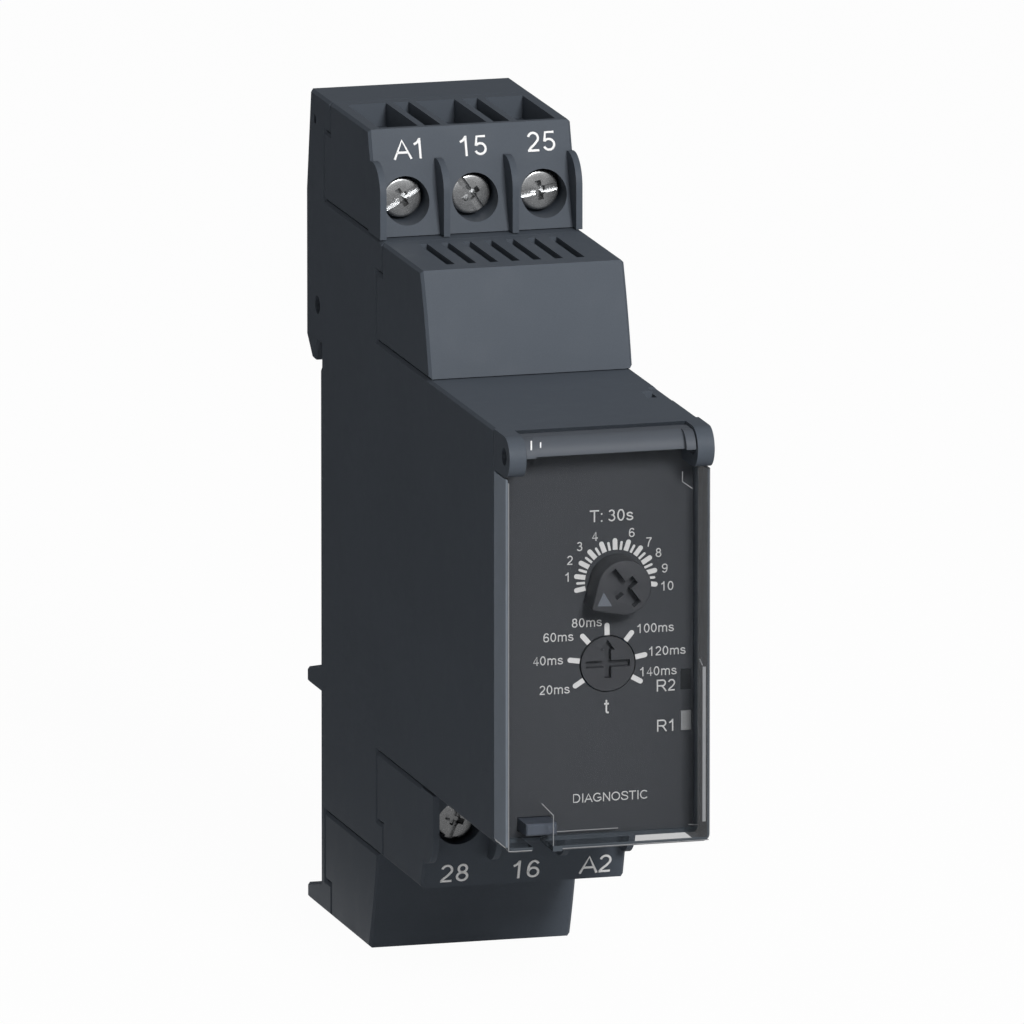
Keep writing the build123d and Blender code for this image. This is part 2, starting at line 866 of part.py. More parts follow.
# A light guide's head fills its window; the stem behind it keeps clear of the wall
lamp_x = room_half_width - front_board_gap - lamp_width / 2 - seam
stem_x = window_x - window_width / 2 + stem_width / 2
for number, z in enumerate(window_rises, start=1):
    with BuildPart() as lamp:
        with BuildSketch(Plane.XZ.offset(board_front)):
            with Locations((lamp_x, z)):
                Rectangle(lamp_width, lamp_width)
        extrude(amount=lamp_height)
    lamp.part.label = f"lamp_{number}"
    export_step(lamp.part, f"parts/lamp_{number}.step")
    with BuildPart() as light_guide:
        with BuildSketch(Plane.XZ.offset(nose_reach)):
            with Locations((window_x, z)):
                Rectangle(window_width, window_height)
        extrude(amount=-plate_thickness)
        with BuildSketch(Plane.XZ.offset(plate_back)):
            with Locations((stem_x, z)):
                Rectangle(stem_width, window_height)
        extrude(amount=board_front + lamp_height + lamp_gap - plate_back)
    light_guide.part.label = f"light_guide_{number}"
    export_step(light_guide.part, f"parts/light_guide_{number}.step")

# Screws, cages and contact bars
screw_slot_turns = (30, -55, 10, 70, 15, -20)
board_drop = place_step + wall + board_edge_drop
arm_gap = 0.1
number = 0
for row, side in ((0, 1), (1, -1)):
    corner = place_back + row * place_shift
    screw_z = spot(row, side, 0, place_step - screw_rise)[1]
    for pole, x in enumerate(pole_places):
        with BuildPart() as screw:
            with BuildSketch(Plane.XZ.offset(corner + bar_front + seam / 2)):
                with Locations((x, screw_z)):
                    Circle(shank_radius)
            extrude(amount=head_under - bar_front - seam / 2)
            with BuildSketch(Plane.XZ.offset(corner + head_under)):
                with Locations((x, screw_z)):
                    Circle(head_radius)
            extrude(amount=head_height)
            chamfer(screw.faces().sort_by(Axis.Y)[0].edges(), edge_break / 2)
            with BuildSketch(Plane.XZ.offset(corner + head_face)):
                with Locations(Location((x, screw_z), screw_slot_turns[number])):
                    Rectangle(2 * head_radius + slot_width, slot_width)
                    Rectangle(slot_width, cross_span)
            extrude(amount=-slot_depth, mode=Mode.SUBTRACT)
        screw.part.label = f"terminal_screw_{number + 1}"
        export_step(screw.part, f"parts/terminal_screw_{number + 1}.step")

        cage_front = cage_rear + cage_front_wall
        cage_back = pocket_back + cage_gap
        with BuildPart() as cage:
            with BuildSketch(Plane.XZ.offset(corner + cage_back)):
                with Locations((x, screw_z)):
                    RectangleRounded(cage_width, cage_height, edge_break)
            extrude(amount=cage_front - cage_back)
            with BuildSketch(Plane.YZ.offset(x)):
                with Locations((-corner - (cage_back + cage_wall + cage_rear) / 2, screw_z)):
                    Rectangle(cage_rear - cage_back - cage_wall, cage_height)
            extrude(amount=cage_width / 2 - cage_wall, both=True, mode=Mode.SUBTRACT)
            with BuildSketch(Plane.XZ.offset(corner + cage_rear)):
                with Locations((x, screw_z)):
                    Circle(shank_radius + thread_clearance)
            extrude(amount=cage_front_wall, mode=Mode.SUBTRACT)
        cage.part.label = f"clamp_cage_{number + 1}"
        export_step(cage.part, f"parts/clamp_cage_{number + 1}.step")

        # The arms lie one below the other, so that all three reach the board's face
        arm_high = board_drop + arm_gap + pole * arm_pitch
        arm_low = arm_high + arm_height
        left = x - bar_width / 2
        right = x + bar_width / 2
        leg_end = arm_high if left > board_face else board_drop - arm_gap
        outline = (
            (left, bar_head_drop),
            (right, bar_head_drop),
            (right, arm_low),
            (board_face, arm_low),
            (board_face, leg_end),
            (left, leg_end),
        )
        with BuildPart() as bar:
            with BuildSketch(Plane.XZ.offset(corner + bar_setback)):
                with BuildLine():
                    Polyline(*[(px, spot(row, side, 0, drop)[1]) for px, drop in outline], close=True)
                make_face()
            extrude(amount=bar_thickness)
        bar.part.label = f"contact_bar_{number + 1}"
        export_step(bar.part, f"parts/contact_bar_{number + 1}.step")
        number += 1

# Main board: it follows the room's outline beside the left wall
board_half_height = half_height - board_drop
nose_board_half = inner_top - board_drop
meeting = board_front - board_thickness - board_meeting_gap
with BuildPart() as main_board:
    with BuildSketch(Plane.YZ.offset(board_face - board_thickness)):
        with BuildLine():
            Polyline(
                (-meeting, nose_board_half),
                (inner_jog + board_rear_gap, nose_board_half),
                (inner_jog + board_rear_gap, board_half_height),
                (-seat_wall - board_rear_gap, board_half_height),
                (-seat_wall - board_rear_gap, -board_half_height),
                (inner_jog + board_rear_gap, -board_half_height),
                (inner_jog + board_rear_gap, -nose_board_half),
                (-meeting, -nose_board_half),
                close=True,
            )
        make_face()
    extrude(amount=board_thickness)
main_board.part.label = "main_board"
export_step(main_board.part, "parts/main_board.step")

with BuildPart() as pin_header:
    with BuildSketch(Plane.YZ.offset(board_face)):
        with Locations((-meeting + header_depth / 2 - board_meeting_gap, 0)):
            Rectangle(header_depth, header_length)
    extrude(amount=header_height)
    chamfer(pin_header.faces().sort_by(Axis.X)[-1].edges(), edge_break)
pin_header.part.label = "pin_header"
export_step(pin_header.part, "parts/pin_header.step")

for number, setback in enumerate(relay_setbacks, start=1):
    with BuildPart() as relay:
        with BuildSketch(Plane.YZ.offset(board_face + standoff)):
            with Locations((-setback, relay_rise)):
                RectangleRounded(relay_width, relay_length, 2 * edge_break)
        extrude(amount=relay_height)
        chamfer(relay.faces().sort_by(Axis.X)[-1].edges(), edge_break)
    relay.part.label = f"relay_{number}"
    export_step(relay.part, f"parts/relay_{number}.step")

capacitors = (("power_capacitor", big_capacitor), ("timing_capacitor", small_capacitor))
for name, (setback, rise, radius, length) in capacitors:
    with BuildPart() as capacitor:
        with BuildSketch(Plane.YZ.offset(board_face + standoff)):
            with Locations((-setback, rise)):
                Circle(radius)
        extrude(amount=length)
        fillet(capacitor.faces().sort_by(Axis.X)[-1].edges(), 2 * edge_break)
    capacitor.part.label = name
    export_step(capacitor.part, f"parts/{name}.step")

with BuildPart() as inductor:
    with BuildSketch(Plane.YZ.offset(board_face + standoff)):
        with Locations((-inductor_place[0], inductor_place[1])):
            Circle(inductor_core_radius)
    extrude(amount=inductor_height)
    for start in (0, inductor_height - inductor_flange):
        with BuildSketch(Plane.YZ.offset(board_face + standoff + start)):
            with Locations((-inductor_place[0], inductor_place[1])):
                Circle(inductor_radius)
        extrude(amount=inductor_flange)
inductor.part.label = "inductor"
export_step(inductor.part, "parts/inductor.step")

with BuildPart() as film_capacitor:
    with BuildSketch(Plane.YZ.offset(board_face + standoff)):
        with Locations((-film_capacitor_place[0], film_capacitor_place[1])):
            Rectangle(film_capacitor_size[1], film_capacitor_size[2])
    extrude(amount=film_capacitor_size[0])
    chamfer(film_capacitor.faces().sort_by(Axis.X)[-1].edges(), edge_break)
film_capacitor.part.label = "film_capacitor"
export_step(film_capacitor.part, "parts/film_capacitor.step")

with BuildPart() as varistor:
    with BuildSketch(Plane.XZ.offset(varistor_place[0] - varistor_thickness / 2)):
        with Locations((board_face + standoff + varistor_radius, varistor_place[1])):
            Circle(varistor_radius)
    extrude(amount=varistor_thickness)
    fillet(varistor.edges(), 2 * edge_break)
varistor.part.label = "varistor"
export_step(varistor.part, "parts/varistor.step")

with BuildPart() as controller_chip:
    with BuildSketch(Plane.YZ.offset(board_face)):
        with Locations((-chip_place[0], chip_place[1])):
            with GridLocations(1, chip_pin_pitch, 1, chip_pin_count):
                Rectangle(chip_size[1], chip_pin_pitch / 3)
    extrude(amount=chip_size[0] / 3)
    with BuildSketch(Plane.YZ.offset(board_face)):
        with Locations((-chip_place[0], chip_place[1])):
            Rectangle(chip_size[1] * 2 / 3, chip_size[2])
    extrude(amount=chip_size[0])
controller_chip.part.label = "controller_chip"
export_step(controller_chip.part, "parts/controller_chip.step")

# Rail latch: a slider with side flanges, a hook for the rail and a window for the spring
bed_floor = -latch_recess + latch_clearance
latch_back = bed_floor + latch_thickness
rail_clear = rail_lip + latch_clearance
latch_top = -tooth_drop - seam
hook_top = track_top - latch_clearance
latch_end = -half_height + latch_foot_gap
window_top = spring_rise + spring_length
window_foot = spring_rise - lug_height - seam
with BuildPart() as rail_latch:
    with BuildSketch(Plane.YZ):
        with BuildLine():
            Polyline(
                (bed_floor, latch_top),
                (rail_clear, latch_top),
                (rail_clear, hook_top),
                (rail_clear + latch_hook_land, hook_top),
                (latch_back, hook_top - latch_ramp),
                (latch_back, latch_end),
                (bed_floor, latch_end),
                close=True,
            )
        make_face()
    extrude(amount=latch_width / 2, both=True)
    with BuildSketch(Plane.XZ.offset(-bed_floor)):
        with Locations((0, (latch_top + latch_end) / 2)):
            Rectangle(latch_width + 2 * latch_flange, latch_top - latch_end)
    extrude(amount=-latch_flange_thickness)
    with BuildSketch(Plane.XZ.offset(-bed_floor)):
        with Locations((0, (window_top + window_foot) / 2)):
            Rectangle(lug_width + 2 * latch_clearance, window_top - window_foot)
        with Locations((0, latch_end + latch_slot_rise)):
            Rectangle(lug_width + 2 * latch_clearance, latch_slot_height)
    extrude(amount=-latch_thickness, mode=Mode.SUBTRACT)
rail_latch.part.label = "rail_latch"
export_step(rail_latch.part, "parts/rail_latch.step")

spring_y = bed_floor + latch_flange_thickness / 2 + spring_wire
with BuildPart() as latch_spring:
    with BuildLine() as coil:
        Helix(
            pitch=(spring_length - spring_wire - seam) / spring_turns,
            height=spring_length - spring_wire - seam,
            radius=spring_radius,
            center=(0, spring_y, spring_rise + spring_wire / 2 + seam / 2),
        )
    with BuildSketch(Plane(origin=coil.line @ 0, z_dir=coil.line % 0)):
        RegularPolygon(spring_wire / 2, 6)
    sweep(is_frenet=True)
latch_spring.part.label = "latch_spring"
export_step(latch_spring.part, "parts/latch_spring.step")
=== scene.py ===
import bpy
import bmesh
import json
from math import asin, cos, radians, sin
from mathutils import Matrix, Vector

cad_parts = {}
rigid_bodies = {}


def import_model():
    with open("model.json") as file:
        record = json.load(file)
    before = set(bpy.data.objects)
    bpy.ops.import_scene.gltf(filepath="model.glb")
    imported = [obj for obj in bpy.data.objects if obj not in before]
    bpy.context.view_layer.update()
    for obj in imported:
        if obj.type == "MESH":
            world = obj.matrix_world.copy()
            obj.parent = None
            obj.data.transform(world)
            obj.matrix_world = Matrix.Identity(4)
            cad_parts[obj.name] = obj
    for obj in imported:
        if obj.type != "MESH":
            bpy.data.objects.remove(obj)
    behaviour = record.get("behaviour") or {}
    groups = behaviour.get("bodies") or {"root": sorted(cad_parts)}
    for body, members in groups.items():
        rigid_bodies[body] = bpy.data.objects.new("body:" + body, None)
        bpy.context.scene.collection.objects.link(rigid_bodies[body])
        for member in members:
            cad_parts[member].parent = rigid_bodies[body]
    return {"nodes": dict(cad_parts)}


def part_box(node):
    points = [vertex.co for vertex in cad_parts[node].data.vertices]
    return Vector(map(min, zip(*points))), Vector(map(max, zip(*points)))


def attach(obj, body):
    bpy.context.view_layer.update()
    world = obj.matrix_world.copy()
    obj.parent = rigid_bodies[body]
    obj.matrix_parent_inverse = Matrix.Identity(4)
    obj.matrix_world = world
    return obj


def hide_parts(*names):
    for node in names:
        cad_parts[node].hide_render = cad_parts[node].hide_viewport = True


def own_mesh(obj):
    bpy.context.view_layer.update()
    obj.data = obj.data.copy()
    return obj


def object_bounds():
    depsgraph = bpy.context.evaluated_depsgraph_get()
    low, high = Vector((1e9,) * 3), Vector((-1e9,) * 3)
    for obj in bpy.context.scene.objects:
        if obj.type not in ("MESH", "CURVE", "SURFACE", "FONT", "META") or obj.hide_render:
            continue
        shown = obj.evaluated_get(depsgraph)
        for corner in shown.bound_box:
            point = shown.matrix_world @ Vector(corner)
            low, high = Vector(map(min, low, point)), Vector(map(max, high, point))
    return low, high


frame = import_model()
cadBox = [list(corner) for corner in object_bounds()]
solids = frame["nodes"]
print("frame:", len(solids), "solids")


# One shader value. Arithmetic on it adds Math nodes.
class Wire:
    def __init__(self, book, socket):
        self.book = book
        self.socket = socket

    def maths(self, operation, first, second):
        return self.book.node("Math", {"operation": operation}, {0: first, 1: second})

    def __add__(self, other):
        return self.maths("ADD", self, other)

    def __radd__(self, other):
        return self.maths("ADD", other, self)

    def __sub__(self, other):
        return self.maths("SUBTRACT", self, other)

    def __mul__(self, other):
        return self.maths("MULTIPLY", self, other)

    def __rmul__(self, other):
        return self.maths("MULTIPLY", other, self)

    def __abs__(self):
        return self.maths("ABSOLUTE", self, 0.0)

    def above(self, limit):
        return self.maths("GREATER_THAN", self, limit)

    def below(self, limit):
        return self.maths("LESS_THAN", self, limit)

    def atLeast(self, other):
        return self.maths("MAXIMUM", self, other)

    def atMost(self, other):
        return self.maths("MINIMUM", self, other)


# The nodes of one material or of the world
class NodeBook:
    def __init__(self, owner):
        owner.use_nodes = True
        self.tree = owner.node_tree

    def feed(self, socket, value):
        if isinstance(value, Wire):
            self.tree.links.new(value.socket, socket)
        else:
            socket.default_value = value

    def node(self, kind, settings, values, output=0):
        made = self.tree.nodes.new("ShaderNode" + kind)
        stops = settings.pop("stops", None)
        for name, value in settings.items():
            setattr(made, name, value)
        if stops:
            for stop, (place, shade) in zip(made.color_ramp.elements, stops):
                stop.position = place
                stop.color = (shade, shade, shade, 1)
        for name, value in values.items():
            self.feed(made.inputs[name], value)
        return Wire(self, made.outputs[output])

    # a colour between two, by a mask
    def between(self, mask, first, second):
        values = {0: mask, 6: first, 7: second}
        return self.node("Mix", {"data_type": "RGBA"}, values, output=2)

    # 0 below the low end of a value, 1 above its high end
    def ramp(self, value, low, high):
        settings = {"stops": ((low, 0), (high, 1))}
        return self.node("ValToRGB", settings, {"Fac": value})

    # the place on the object, moved and stretched
    def place(self, offset=(0, 0, 0), scale=(1, 1, 1)):
        here = self.node("TexCoord", {}, {}, output=3)
        values = {"Vector": here, "Location": offset, "Scale": scale}
        return self.node("Mapping", {"vector_type": "TEXTURE"}, values)

    def noise(self, where, scale, detail=3.0, roughness=0.5):
        values = {"Vector": where, "Scale": scale, "Detail": detail, "Roughness": roughness}
        return self.node("TexNoise", {}, values)

    def bump(self, height, depth):
        return self.node("Bump", {}, {"Height": height, "Distance": depth, "Strength": 1.0})

    # a glow of one strength
    def glow(self, strength):
        return self.node("Emission", {}, {"Color": (1, 1, 1, 1), "Strength": strength})

    # the shader that an emptied material ends in
    def show(self, shader):
        end = self.tree.nodes.new("ShaderNodeOutputMaterial")
        self.feed(end.inputs["Surface"], shader)


# A material whose shader starts from fixed values
class Finish(NodeBook):
    def __init__(self, name, values):
        self.material = bpy.data.materials.new(name)
        super().__init__(self.material)
        self.shader = self.tree.nodes["Principled BSDF"]
        self.set(values)

    def set(self, values):
        for name, value in values.items():
            self.feed(self.shader.inputs[name], value)


def shade(colour, amount):
    return tuple(min(1.0, part * amount) for part in colour) + (1.0,)


# A colour at two strengths, mixed by a mask: the first where the mask is 0
def toned(paint, mask, colour, tones):
    return paint.between(mask, shade(colour, tones[0]), shade(colour, tones[1]))


# Moulded plastic: spark-eroded grain, slow colour drift, soft marks from handling
def mouldedPlastic(name, look):
    paint = Finish(name, {"Specular IOR Level": look["gloss"]})
    here = paint.place()
    drift = paint.noise(here, look["driftScale"], detail=2.0)
    grain = paint.noise(here, look["grainScale"], detail=2.0, roughness=0.6)
    marks = paint.noise(here, look["rubScale"], detail=4.0, roughness=0.65)
    rub = paint.ramp(marks, *look["rubRange"])
    colour = toned(paint, drift, look["colour"], (1 - look["drift"], 1 + look["drift"]))
    speck = paint.ramp(grain, *look["speckRange"])
    lit = shade(look["colour"], look["speckTone"])
    paint.set({
        "Base Color": paint.between(speck * look["speck"], colour, lit),
        "Roughness": look["roughness"] + look["driftRoughness"] * drift - look["rub"] * rub,
        "Normal": paint.bump(grain, look["grainDepth"]),
    })
    return paint.material


plasticLook = {
    "colour": (0.057, 0.068, 0.084),
    "roughness": 0.6,
    "gloss": 0.22,
    "drift": 0.05,
    "driftScale": 60.0,
    "driftRoughness": 0.08,
    "grainScale": 9000.0,
    "grainDepth": 0.000003,
    "rub": 0.06,
    "rubScale": 190.0,
    "rubRange": (0.5, 0.72),
    "speck": 0.12,
    "speckRange": (0.35, 0.75),
    "speckTone": 1.9,
}


def plasticLike(name, **changes):
    return mouldedPlastic(name, {**plasticLook, **changes})


housingPlastic = plasticLike("housingPlastic")
terminalPlastic = plasticLike("terminalPlastic", driftScale=75.0)
platePlastic = plasticLike("platePlastic", colour=(0.036, 0.0385, 0.0435), roughness=0.66)
dialPlastic = plasticLike("dialPlastic", colour=(0.036, 0.0375, 0.042), roughness=0.55)
latchPlastic = plasticLike("latchPlastic", colour=(0.05, 0.056, 0.066), roughness=0.5)
buttonPlastic = plasticLike("buttonPlastic", colour=(0.062, 0.072, 0.092), roughness=0.42)
blackMoulding = plasticLike("blackMoulding", colour=(0.012, 0.012, 0.013), roughness=0.42)
potCase = plasticLike("potCase", colour=(0.02, 0.06, 0.16), roughness=0.4)
plungerPlastic = plasticLike("plungerPlastic", colour=(0.25, 0.02, 0.02), roughness=0.4)
relayCase = plasticLike("relayCase", colour=(0.02, 0.022, 0.025), roughness=0.33)
filmCase = plasticLike("filmCase", colour=(0.42, 0.30, 0.05), roughness=0.4)
varistorCoat = plasticLike("varistorCoat", colour=(0.03, 0.09, 0.30), roughness=0.35)


# Smoky clear polycarbonate: thin over the face, dense in the outer skin of its walls and
# in its roll, thinner again in the bottom wall between openStart and the plate
def smokyPlastic(look):
    paint = Finish("smokyPlastic", {"Specular IOR Level": look["gloss"]})
    here = paint.place()
    across, forward, upward = [
        paint.node("SeparateXYZ", {}, {"Vector": here}, output=axis) for axis in range(3)
    ]
    under = upward.below(look["bottomStart"])
    right = across.above(look["rightStart"])
    skin = across.below(look["leftStart"]).atLeast(right).atLeast(under)
    opened = under * forward.above(look["openStart"]) * abs(across).below(look["openHalf"])
    rolled = upward.above(look["rollStart"])
    haze = paint.ramp(paint.noise(here, look["hazeScale"]), *look["hazeRange"])
    depth = look["face"] + (look["wall"] - look["face"]) * skin - look["opened"] * opened
    mist = paint.noise(paint.place(scale=look["mistStretch"]), look["mistScale"], detail=2.0)
    leftLitTone, rightShadedTone, rollTone = [
        toned(paint, mist, look[name], look["mistTones"])
        for name in ("leftLitColour", "rightShadedColour", "rollColour")
    ]
    # Painted light and shade: the left wall's skin takes a much lighter copy of the smoke colour
    # as painted light, everything else a darker copy as painted shade
    inside = across.above(look["leftStart"]).atLeast(under)
    wall = paint.between(inside, leftLitTone, rightShadedTone)
    waves = paint.noise(here, look["waveScale"], detail=1.0)
    rough = look["roughness"] + look["hazeRoughness"] * haze + look["rollRoughness"] * rolled
    paint.set({
        "Base Color": paint.between(rolled, wall, rollTone),
        "Alpha": depth.atLeast(rolled * look["roll"]) + look["hazeAlpha"] * haze,
        "Roughness": rough,
        "Normal": paint.bump(waves, look["waveDepth"]),
    })
    return paint.material


# Starts and openHalf are places in metres; face, wall, opened and roll are alpha
coverLook = {
    "leftStart": -0.0111,
    "rightStart": 0.0108,
    "bottomStart": -0.0219,
    "openStart": -0.0737,
    "openHalf": 0.0098,
    "rollStart": 0.0203,
    "face": 0.03,
    "wall": 0.95,
    "opened": 0.5,
    "roll": 0.93,
    # Lit and shaded copies of one smoke colour: painted light on the left wall, painted shade on
    # the rest
    "leftLitColour": (0.29, 0.33, 0.385),
    "rightShadedColour": (0.061, 0.0725, 0.085),
    "rollColour": (0.066, 0.075, 0.09),
    "gloss": 0.3,
    "roughness": 0.12,
    "rollRoughness": 0.45,
    "hazeScale": 900.0,
    "hazeRange": (0.55, 0.8),
    "hazeAlpha": 0.01,
    "hazeRoughness": 0.04,
    "mistScale": 260.0,
    "mistStretch": (4, 1, 1),
    "mistTones": (0.93, 1.07),
    "waveScale": 120.0,
    "waveDepth": 0.000004,
}


# Zinc-plated steel, turned about an axis along Y through the given place
def turnedSteel(name, centre, look):
    paint = Finish(name, {"Metallic": look["metal"]})
    here = paint.place(offset=(centre[0], 0, centre[1]))
    settings = {"wave_type": "RINGS", "rings_direction": "Y"}
    values = {
        "Vector": here,
        "Scale": look["ringScale"],
        "Distortion": look["ringDistortion"],
        "Detail": 2.0,
    }
    rings = paint.node("TexWave", settings, values, output=1)
    blotch = paint.noise(here, look["blotchScale"], detail=4.0, roughness=0.6)
    stretched = paint.place(scale=look["scratchStretch"])
    lines = paint.noise(stretched, look["scratchScale"], detail=2.0)
    scratch = paint.ramp(lines, *look["scratchRange"])
    rough = look["roughness"] + look["blotch"] * blotch + look["scratch"] * scratch
    paint.set({
        "Base Color": toned(paint, blotch, look["colour"], look["tones"]),
        "Roughness": rough,
        "Normal": paint.bump(rings, look["ringDepth"]),
    })
    return paint.material


steelLook = {
    "colour": (0.34, 0.345, 0.35),
    "tones": (0.8, 1.15),
    "metal": 0.9,
    "roughness": 0.17,
    "ringScale": 2600.0,
    "ringDistortion": 1.2,
    "ringDepth": 0.000003,
    "blotch": 0.16,
    "blotchScale": 900.0,
    "scratch": 0.05,
    "scratchScale": 3000.0,
    "scratchStretch": (1, 1, 0.12),
    "scratchRange": (0.6, 0.7),
}


# Plated sheet metal, its grain along Z
rolledLook = {
    "tones": (0.78, 1.1),
    "blotchScale": 500.0,
    "lineScale": 4000.0,
    "lineStretch": (1, 1, 0.05),
    "lineRoughness": 0.2,
    "lineDepth": 0.000003,
}


def rolledMetal(name, colour, roughness):
    look = rolledLook
    paint = Finish(name, {"Metallic": 1.0})
    lines = paint.noise(paint.place(scale=look["lineStretch"]), look["lineScale"])
    blotch = paint.noise(paint.place(), look["blotchScale"], detail=4.0, roughness=0.6)
    paint.set({
        "Base Color": toned(paint, blotch, colour, look["tones"]),
        "Roughness": roughness + look["lineRoughness"] * lines,
        "Normal": paint.bump(lines, look["lineDepth"]),
    })
    return paint.material


cageSteel = rolledMetal("cageSteel", (0.55, 0.56, 0.54), 0.25)
contactMetal = rolledMetal("contactMetal", (0.66, 0.60, 0.50), 0.22)
springSteel = rolledMetal("springSteel", (0.45, 0.46, 0.48), 0.2)
canMetal = rolledMetal("canMetal", (0.62, 0.63, 0.65), 0.3)


# Circuit board: green lacquer over copper tracks
boardLook = {
    "lacquer": (0.012, 0.085, 0.035, 1),
    "track": (0.03, 0.16, 0.06, 1),
    "coat": {"Coat Weight": 0.4, "Coat Roughness": 0.15},
    "pattern": {"Scale": 420.0, "Mortar Size": 0.03, "Brick Width": 0.9},
    "shift": 0.37,
    "weaveScale": 2600.0,
    "roughness": 0.35,
    "weaveRoughness": 0.12,
    "trackRise": 0.6,
    "weaveRise": 0.2,
    "depth": 0.00002,
}


def circuitBoard(look):
    paint = Finish("circuitBoard", look["coat"])
    here = paint.place()
    values = {"Vector": here, **look["pattern"]}
    tracks = paint.node("TexBrick", {"offset": look["shift"]}, values, output=1)
    weave = paint.noise(here, look["weaveScale"], detail=2.0)
    rise = tracks * look["trackRise"] + weave * look["weaveRise"]
    paint.set({
        "Base Color": paint.between(tracks, look["lacquer"], look["track"]),
        "Roughness": look["roughness"] + look["weaveRoughness"] * weave,
        "Normal": paint.bump(rise, look["depth"]),
    })
    return paint.material


# The inductor's core: dark ferrite with pores
ferriteLook = {
    "pore": (0.02, 0.02, 0.022, 1),
    "grain": (0.075, 0.07, 0.068, 1),
    "gloss": 0.4,
    "poreScale": 3500.0,
    "roughness": 0.45,
    "poreRoughness": 0.25,
    "poreDepth": 0.00003,
}


def ferrite(look):
    paint = Finish("ferrite", {"Specular IOR Level": look["gloss"]})
    pores = paint.noise(paint.place(), look["poreScale"], detail=5.0, roughness=0.7)
    paint.set({
        "Base Color": paint.between(pores, look["pore"], look["grain"]),
        "Roughness": look["roughness"] + look["poreRoughness"] * pores,
        "Normal": paint.bump(pores, look["poreDepth"]),
    })
    return paint.material


# Lamp windows and lamps: clouded moulding
guideLook = {
    "gloss": 0.4,
    "cloudScale": 1400.0,
    "tones": (0.88, 1.1),
    "roughness": 0.3,
    "cloudRoughness": 0.2,
    "cloudDepth": 0.00001,
}


def cloudedGuide(name, colour):
    look = guideLook
    paint = Finish(name, {"Specular IOR Level": look["gloss"]})
    cloud = paint.noise(paint.place(), look["cloudScale"])
    paint.set({
        "Base Color": toned(paint, cloud, colour, look["tones"]),
        "Roughness": look["roughness"] + look["cloudRoughness"] * cloud,
        "Normal": paint.bump(cloud, look["cloudDepth"]),
    })
    return paint.material


# Printing ink, a little thinner in places; the same finish gives the painted highlights on the
# cover
inkAndGleamLook = {
    "gloss": 0.3,
    "thinScale": 5200.0,
    "tones": (0.93, 1.05),
    "roughness": 0.55,
    "thinRoughness": 0.1,
}


def printInkAndGleam(name, colour):
    look = inkAndGleamLook
    paint = Finish(name, {"Specular IOR Level": look["gloss"]})
    thin = paint.noise(paint.place(), look["thinScale"])
    paint.set({
        "Base Color": toned(paint, thin, colour, look["tones"]),
        "Roughness": look["roughness"] + look["thinRoughness"] * thin,
    })
    return paint.material


clearCover = smokyPlastic(coverLook)
# edgeGleam: painted highlight colour for the light bars on the cover
edgeGleam = printInkAndGleam("edgeGleam", (0.24, 0.245, 0.255))
pointerInk = printInkAndGleam("pointerInk", (0.10, 0.11, 0.13))
board = circuitBoard(boardLook)
core = ferrite(ferriteLook)
dullGuide = cloudedGuide("dullGuide", (0.24, 0.245, 0.25))
darkGuide = cloudedGuide("darkGuide", (0.012, 0.0135, 0.0155))
lampLens = cloudedGuide("lampLens", (0.6, 0.58, 0.5))
plateInk = printInkAndGleam("plateInk", (0.56, 0.56, 0.56))
# Terminal print, also the near-white of the painted glints on the cover's roll
terminalInkAndGlint = printInkAndGleam("terminalInkAndGlint", (0.86, 0.86, 0.86))
print("materials made")


def dress(material, *names):
    for name in names:
        slots = solids[name].material_slots
        if slots:
            for slot in slots:
                slot.material = material
        else:
            solids[name].data.materials.append(material)


def numbered(stem, count):
    return [f"{stem}_{number}" for number in range(1, count + 1)]


dress(housingPlastic, "body_shell", "vent_cap", "lower_blank_cap")
dress(terminalPlastic, "upper_terminal_block", "lower_terminal_block")
dress(platePlastic, "front_plate")
dress(clearCover, "clear_cover")
dress(dialPlastic, "time_knob", "selector_knob")
dress(buttonPlastic, "test_button")
dress(latchPlastic, "rail_latch")
dress(cageSteel, *numbered("clamp_cage", 6))
dress(contactMetal, *numbered("contact_bar", 6))
dress(springSteel, "latch_spring")
dress(board, "main_board", "front_board")
dress(blackMoulding, "pin_header", "controller_chip", "push_switch")
dress(relayCase, "relay_1", "relay_2")
dress(canMetal, "power_capacitor", "timing_capacitor")
dress(core, "inductor")
dress(filmCase, "film_capacitor")
dress(varistorCoat, "varistor")
dress(plungerPlastic, "switch_plunger")
dress(potCase, "time_potentiometer", "selector_switch")
dress(lampLens, "lamp_1", "lamp_2")
dress(darkGuide, "light_guide_1")
dress(dullGuide, "light_guide_2")
screwSteels = []
for name in numbered("terminal_screw", 6):
    low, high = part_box(name)
    centre = ((low.x + high.x) / 2, (low.z + high.z) / 2)
    screwSteels.append(turnedSteel("steel_" + name, centre, steelLook))
    dress(screwSteels[-1], name)
print("solids dressed")


def newPiece(name, mesh, material, body="housing"):
    mesh.materials.clear()
    mesh.materials.append(material)
    piece = bpy.data.objects.new(name, mesh)
    bpy.context.scene.collection.objects.link(piece)
    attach(piece, body)
    return piece


# How finely the letters' curves are drawn: an arc's step in degrees, the steps between two
# points of a smooth line, and how near a stroke's ends are when it closes
strokeLook = {"arcStep": 15, "flowSteps": 4, "closes": 0.001}


# Points along an arc of an ellipse
def bow(x, y, wide, tall, start, end):
    steps = max(3, round(abs(end - start) / strokeLook["arcStep"]))
    turns = [radians(start + (end - start) * step / steps) for step in range(steps + 1)]
    return [(x + wide * cos(turn), y + tall * sin(turn)) for turn in turns]


